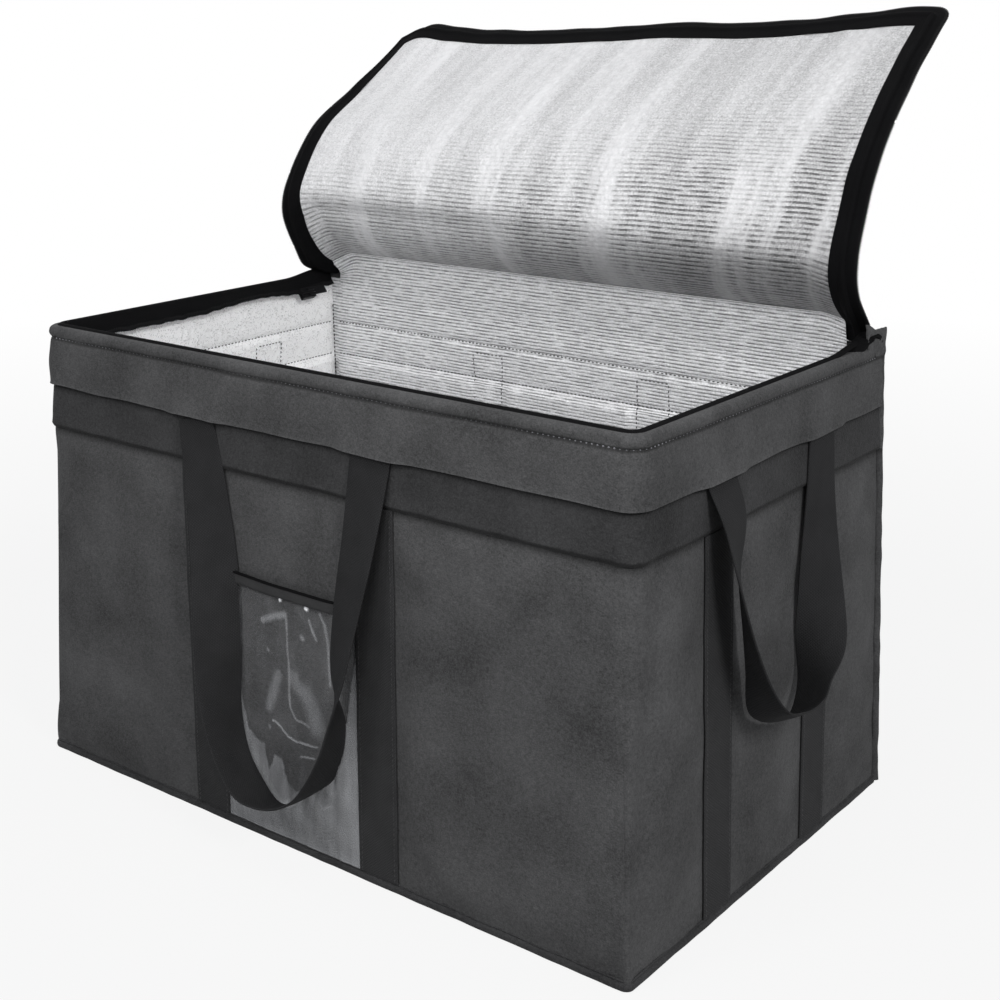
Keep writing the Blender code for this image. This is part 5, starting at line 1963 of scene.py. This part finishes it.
class CARRIERBAG_OT_zipper(bpy.types.Operator):
    """Body's half of the zipper: tape, coil, sliders and pulls"""

    bl_idname = "carrier_bag.zipper"
    bl_label = "Zipper"

    def execute(self, context):
        size = sizes()
        s = stations(0, 5, 0.004)
        u = along(s)[:, None]
        wall = wall_thickness()
        fine = np.linspace(0, len(TAPE_PATH) - 1, 3 * len(TAPE_PATH))
        path = smooth_curve(np.arange(float(len(TAPE_PATH))), TAPE_PATH, fine)
        profile = folded(path, 0.0009)[None]
        down = smooth_step(-profile[..., 1], 0.001, 0.012)
        from_rear = np.minimum(u, along(5.0) - u)
        pulled = 0.0048 * (1 - smooth_step(from_rear, 0.010, 0.060))
        hang = 1 - 0.35 * bump(from_rear, 0.110, 0.050)
        sway = 0.0012 * wave_field(u, 0 * u, 101, 0.09) * down
        ripple = 0.0005 * wave_field(u, profile[..., 1], 102, 0.03) * down
        frayed = 0.0007 * wave_field(u, 0 * u, 103, 0.012) * smooth_step(-profile[..., 1], 0.009, 0.0135)
        sections = side_points(
            s[:, None],
            RIM + np.where(profile[..., 1] < 0, hang, 1) * profile[..., 1] + 0.5 * sway + pulled + frayed,
            -profile[..., 0] - sway - ripple,
            wall + 0.006,
        )
        tape = swept("zip_tape_rim", sections, FINISH_OF_SLOT["binding_tape"]())
        settle(tape, "bag", ["zip_tape_body"])
        half = len(fine)
        edge = (sections[:, half - 1] + sections[:, half]) / 2
        inner = (sections[:, half - 3] + sections[:, half + 2]) / 2
        face = unit(sections[:, half - 3] - sections[:, half + 2])
        line = edge + unit(inner - edge) * 0.0016 + face * 0.0010
        places = places_along(line, face, size.zip_pitch)
        teeth = spread("zip_teeth_rim", coil_tooth(), places, coil_finish())
        settle(teeth, "bag", [])
        self.tails()
        for name in ("zip_slider_left", "zip_slider_right", "zip_pull_left", "zip_pull_right"):
            mesh = frame["nodes"][name].data
            mesh.materials.clear()
            mesh.materials.append(metal_finish())
        return {"FINISHED"}

    def tails(self):
        """Folded ends of the zipper at the rear corners: flat rounded sections along a short curve
        from the lid's border down to the tape on the rim."""
        for side, name in ((-1, "left"), (1, "right")):
            places = np.array(TAIL_PATH) * [side, 1, 1]
            path = smooth_curve(np.arange(6.0), places, np.linspace(0, 5, 40))
            ahead = unit(np.gradient(path, axis=0))
            across = unit(np.cross(ahead, [0, 0, 1.0]))
            up = np.cross(across, ahead)
            turn = np.linspace(0, 2 * math.pi, 20, endpoint=False)
            share = np.linspace(0, 1, 40)[:, None]
            wide = 0.0072 * (0.55 + 0.45 * np.sin(math.pi * np.clip(share * 1.15, 0, 1)) ** 0.5)
            wrinkle = 1 + 0.10 * np.cos(3 * turn + 9 * share) + 0.06 * np.cos(7 * turn + 21 * share)
            x = np.sign(np.cos(turn)) * np.abs(np.cos(turn)) ** 0.7 * wide * wrinkle
            z = np.sin(turn) * 0.0036 * wrinkle
            sections = path[:, None] + across[:, None] * x[..., None] + up[:, None] * z[..., None]
            tail = swept(f"zip_tail_{name}", sections, FINISH_OF_SLOT["binding_tape"]())
            settle(tail, "lid_length_1", [])


def stitch_row(s, z, face, step=0.001, rear=0.0, end=0.0):
    """Stitches along a row on the bag's side. They lie on the face, and step leads away from it."""
    path = side_points(s, z, face, rear, end)
    up = unit(side_points(s, z, face + step, rear, end) - path)
    return places_along(path, up, sizes().stitch_pitch)


def level_stitches(first, last, z, out):
    """Stitches round the bag at height z, out from the cover."""
    s = stations(first, last, 0.004)
    return stitch_row(s, z, relief(s, np.full(len(s), z)) + out)


def strip_edges(wall, number, z):
    """Stations of the two rows of stitches along a strip."""
    inset = sizes().webbing_width / 2 - STITCH_INSET
    return [station(wall, strip_centre(wall, number, z) + edge * inset, z) for edge in (-1, 1)]


def lining_face(s, z):
    """How far out the lining's face is: the relief less the wall and the lining's own ruffle."""
    return relief(s, z) - wall_thickness() - lining_ruffle(s, z)


def lining_stitches():
    """Rows of the lining: across the strips' upper ends, round the bag at its seams, along the strips
    and up the rear corners."""
    rows = []
    wall = wall_thickness()
    reach = sizes().webbing_width / 2 - STITCH_INSET
    for side, number in STRIPS:
        z = np.full(12, STRAP_STITCHES)
        s = station(side, strip_centre(side, number, z) + np.linspace(-reach, reach, 12), z)
        rows.append(stitch_row(s, z, lining_face(s, z), -0.001))
    rear = wall + 0.004
    for first, last in ((0, 1.4), (1.6, 3.4), (3.6, 5), (5, 6)):
        s = stations(first, last, 0.004)
        for z in SEAMS:
            rows.append(stitch_row(s, z, lining_face(s, np.full(len(s), z)), -0.001, rear, rear))
    for side, number in STRIPS:
        z = np.linspace(0.014, STRAP_STITCHES, 90)
        for s in strip_edges(side, number, z):
            rows.append(stitch_row(s, z, lining_face(s, z), -0.001))
    for side in (-1, 1):
        z = np.linspace(0.014, RIM - 0.03, 90)
        x = side * (half_width(z) - wall - 0.0016)
        path = np.stack([x, half_depth(z) - wall - 0.0022, z], axis=-1)
        up = np.tile(unit(np.array([-side, -1.0, 0.0])), (90, 1))
        rows.append(places_along(path, up, sizes().stitch_pitch))
    return rows


class CARRIERBAG_OT_stitching(bpy.types.Operator):
    """Rows of stitches on the rim band, stripe, strips and lining"""

    bl_idname = "carrier_bag.stitching"
    bl_label = "Stitching"

    def execute(self, context):
        size = sizes()
        shape = thread_shape()
        out = size.seam_gap + 0.0014
        rows = [level_stitches(*span, STRIPE_FOOT + 0.0035, out) for span in COVER_SPANS]
        for wall, number in STRIPS:
            node = f"strip_{wall}_{number}"
            z = np.linspace(low(node).z, high(node).z - 0.004, 80)
            for s in strip_edges(wall, number, z):
                rows.append(stitch_row(s, z, relief(s, z) + size.seam_gap + size.webbing))
        stitches = spread("stitches_outside", shape, join_places(rows), thread_finish())
        settle(stitches, "bag", [])
        rows = [level_stitches(*span, RIM_STITCHES, 0.0012) for span in COVER_SPANS]
        seam = thread_finish("rim_thread", 14.0)
        stitches = spread("stitches_rim", shape * [0.8, 2.0, 1.6], join_places(rows), seam)
        settle(stitches, "bag", [])
        rows = join_places(lining_stitches())
        seam = thread_finish("lining_thread", 2.2)
        stitches = spread("stitches_inside", shape * [1.0, 1.5, 1.5], rows, seam)
        settle(stitches, "bag", [])
        return {"FINISHED"}


class CARRIERBAG_OT_leftovers(bpy.types.Operator):
    """Finish of the frame pieces that stay as they are"""

    bl_idname = "carrier_bag.leftovers"
    bl_label = "Frame finishes"

    def execute(self, context):
        slots = {part["node"]: part["material_slot"] for part in context_subparts()}
        for name, obj in frame["nodes"].items():
            if obj.hide_render or name.startswith("zip_"):
                continue
            obj.data.materials.clear()
            obj.data.materials.append(FINISH_OF_SLOT[slots.get(name, "binding_tape")]())
        return {"FINISHED"}


def context_subparts():
    return frame["record"].get("subparts", [])


class CARRIERBAG_OT_stage(bpy.types.Operator):
    """Floor, lights and camera"""

    bl_idname = "carrier_bag.stage"
    bl_label = "Stage"

    def execute(self, context):
        scene = context.scene
        stage = scene.bag_stage
        mesh = bpy.data.meshes.new("floor")
        size = 30.0
        corners = [(-size, -size, 0), (size, -size, 0), (size, size, 0), (-size, size, 0)]
        mesh.from_pydata(corners, [], [(0, 1, 2, 3)])
        floor = bpy.data.objects.new("floor", mesh)
        floor.location = (0, 0, -0.0002)
        scene.collection.objects.link(floor)
        floor.data.materials.append(self.floor_finish())
        self.world(scene)
        self.lamp(scene, "key", (-0.6, -1.9, 2.0), (0, 0, 0.25), 0.55, 13)
        self.lamp(scene, "near", (0.35, -0.85, 0.78), (0.1, 0, 0.3), 0.35, 2.2)
        self.lamp(scene, "side", (2.3, -0.8, 1.9), (0, 0, 0.2), 0.6, 36)
        self.lamp(scene, "top", (0.2, -0.2, 2.8), (0, 0, 0.3), 1.4, 13)
        self.camera(scene, stage)
        scene.view_settings.view_transform = "Standard"
        return {"FINISHED"}

    def floor_finish(self):
        """Pale floor that fades to white for the camera and in reflections, and keeps the shadow."""
        material, tree, shader = new_finish("floor_paint")
        output = next(n for n in tree.nodes if n.type == "OUTPUT_MATERIAL")
        vector = place_of(tree, "object")
        speck = noise(tree, vector, 60, 3)
        colour = colours().floor
        tone = mix(tree, speck, rgba([c * 0.985 for c in colour]), rgba(colour))
        feed(tree, shader, Base_Color=tone, Roughness=0.9, Specular_IOR_Level=0.1)
        path = tree.nodes.new("ShaderNodeLightPath")
        seen = maths(tree, "MAXIMUM", path.outputs["Is Camera Ray"], path.outputs["Is Glossy Ray"])
        seen = maths(tree, "MAXIMUM", seen, path.outputs["Is Transmission Ray"])
        far = add(tree, "ShaderNodeVectorMath", {"operation": "LENGTH"}, i0=vector).outputs["Value"]
        reach = {"From_Min": 0.7, "From_Max": 2.2, "To_Min": 0.88}
        far = add(tree, "ShaderNodeMapRange", None, Value=far, **reach).outputs[0]
        share = times(tree, seen, far)
        glow = add(tree, "ShaderNodeEmission", None, Color=(1, 1, 1, 1), Strength=1.0)
        both = tree.nodes.new("ShaderNodeMixShader")
        tree.links.new(share, both.inputs[0])
        tree.links.new(shader.outputs[0], both.inputs[1])
        tree.links.new(glow.outputs[0], both.inputs[2])
        tree.links.new(both.outputs[0], output.inputs["Surface"])
        return material

    def world(self, scene):
        world = bpy.data.worlds.new("studio")
        world.use_nodes = True
        tree = world.node_tree
        tree.nodes.clear()
        output = tree.nodes.new("ShaderNodeOutputWorld")
        path = tree.nodes.new("ShaderNodeLightPath")
        seen = maths(tree, "MAXIMUM", path.outputs["Is Camera Ray"], path.outputs["Is Glossy Ray"])
        seen = maths(tree, "MAXIMUM", seen, path.outputs["Is Transmission Ray"])
        plain = add(tree, "ShaderNodeBackground", None, Color=(0.93, 0.95, 1.0, 1), Strength=0.30)
        white = add(tree, "ShaderNodeBackground", None, Color=(1, 1, 1, 1), Strength=1.0)
        both = tree.nodes.new("ShaderNodeMixShader")
        tree.links.new(seen, both.inputs[0])
        tree.links.new(plain.outputs[0], both.inputs[1])
        tree.links.new(white.outputs[0], both.inputs[2])
        tree.links.new(both.outputs[0], output.inputs["Surface"])
        scene.world = world

    def lamp(self, scene, name, place, target, size, power):
        data = bpy.data.lights.new(name, "AREA")
        data.size = size
        data.energy = power
        lamp = bpy.data.objects.new(name, data)
        lamp.location = place
        lamp.rotation_euler = (Vector(target) - Vector(place)).to_track_quat("-Z", "Y").to_euler()
        scene.collection.objects.link(lamp)

    def camera(self, scene, stage):
        """Camera at the photograph's place: back is the way from the bag to it, from the azimuth and
        elevation, and the lens is the focal length in pixels times the sensor over the frame."""
        data = bpy.data.cameras.new("camera")
        data.sensor_width = 36.0
        data.lens = stage.focal_pixels * data.sensor_width / PHOTO_PIXELS
        data.clip_start = 0.01
        azimuth, elevation = stage.azimuth, stage.elevation
        back = Vector((
            math.sin(azimuth) * math.cos(elevation), -math.cos(azimuth) * math.cos(elevation),
            math.sin(elevation),
        ))
        right = Vector((0, 0, 1)).cross(back).normalized()
        up = back.cross(right)
        turn = Matrix((right, up, back)).transposed().to_4x4()
        roll = Matrix.Rotation(stage.roll, 4, "Z")
        camera = bpy.data.objects.new("camera", data)
        camera.matrix_world = Matrix.Translation(Vector(stage.camera)) @ turn @ roll
        scene.collection.objects.link(camera)
        scene.camera = camera


OPERATORS = (
    CARRIERBAG_OT_stage,
    CARRIERBAG_OT_covers,
    CARRIERBAG_OT_padding,
    CARRIERBAG_OT_lining,
    CARRIERBAG_OT_bands,
    CARRIERBAG_OT_strips,
    CARRIERBAG_OT_pocket,
    CARRIERBAG_OT_bindings,
    CARRIERBAG_OT_handles,
    CARRIERBAG_OT_zipper,
    CARRIERBAG_OT_lid,
    CARRIERBAG_OT_stitching,
    CARRIERBAG_OT_leftovers,
)


class CARRIERBAG_PT_panel(bpy.types.Panel):
    """Sizes, colours and pieces of the bag"""

    bl_idname = "CARRIERBAG_PT_panel"
    bl_label = "Carrier bag"
    bl_space_type = "VIEW_3D"
    bl_region_type = "UI"
    bl_category = "Carrier bag"

    def draw(self, context):
        layout = self.layout
        for settings in (context.scene.bag_sizes, context.scene.bag_colours, context.scene.bag_stage):
            box = layout.box()
            for key in settings.__annotations__:
                box.prop(settings, key)
        for operator in OPERATORS:
            layout.operator(operator.bl_idname)


CLASSES = (BagSizes, BagColours, BagStage, *OPERATORS, CARRIERBAG_PT_panel)


def register():
    for item in CLASSES:
        bpy.utils.register_class(item)
    bpy.types.Scene.bag_sizes = PointerProperty(type=BagSizes)
    bpy.types.Scene.bag_colours = PointerProperty(type=BagColours)
    bpy.types.Scene.bag_stage = PointerProperty(type=BagStage)


def unregister():
    del bpy.types.Scene.bag_stage
    del bpy.types.Scene.bag_colours
    del bpy.types.Scene.bag_sizes
    for item in reversed(CLASSES):
        bpy.utils.unregister_class(item)


def main():
    register()
    bpy.ops.carrier_bag.stage()
    bpy.ops.carrier_bag.covers()
    bpy.ops.carrier_bag.padding()
    bpy.ops.carrier_bag.lining()
    bpy.ops.carrier_bag.bands()
    bpy.ops.carrier_bag.strips()
    bpy.ops.carrier_bag.pocket()
    bpy.ops.carrier_bag.bindings()
    bpy.ops.carrier_bag.handles()
    bpy.ops.carrier_bag.zipper()
    bpy.ops.carrier_bag.lid()
    bpy.ops.carrier_bag.stitching()
    bpy.ops.carrier_bag.leftovers()


if __name__ == "__main__":
    main()
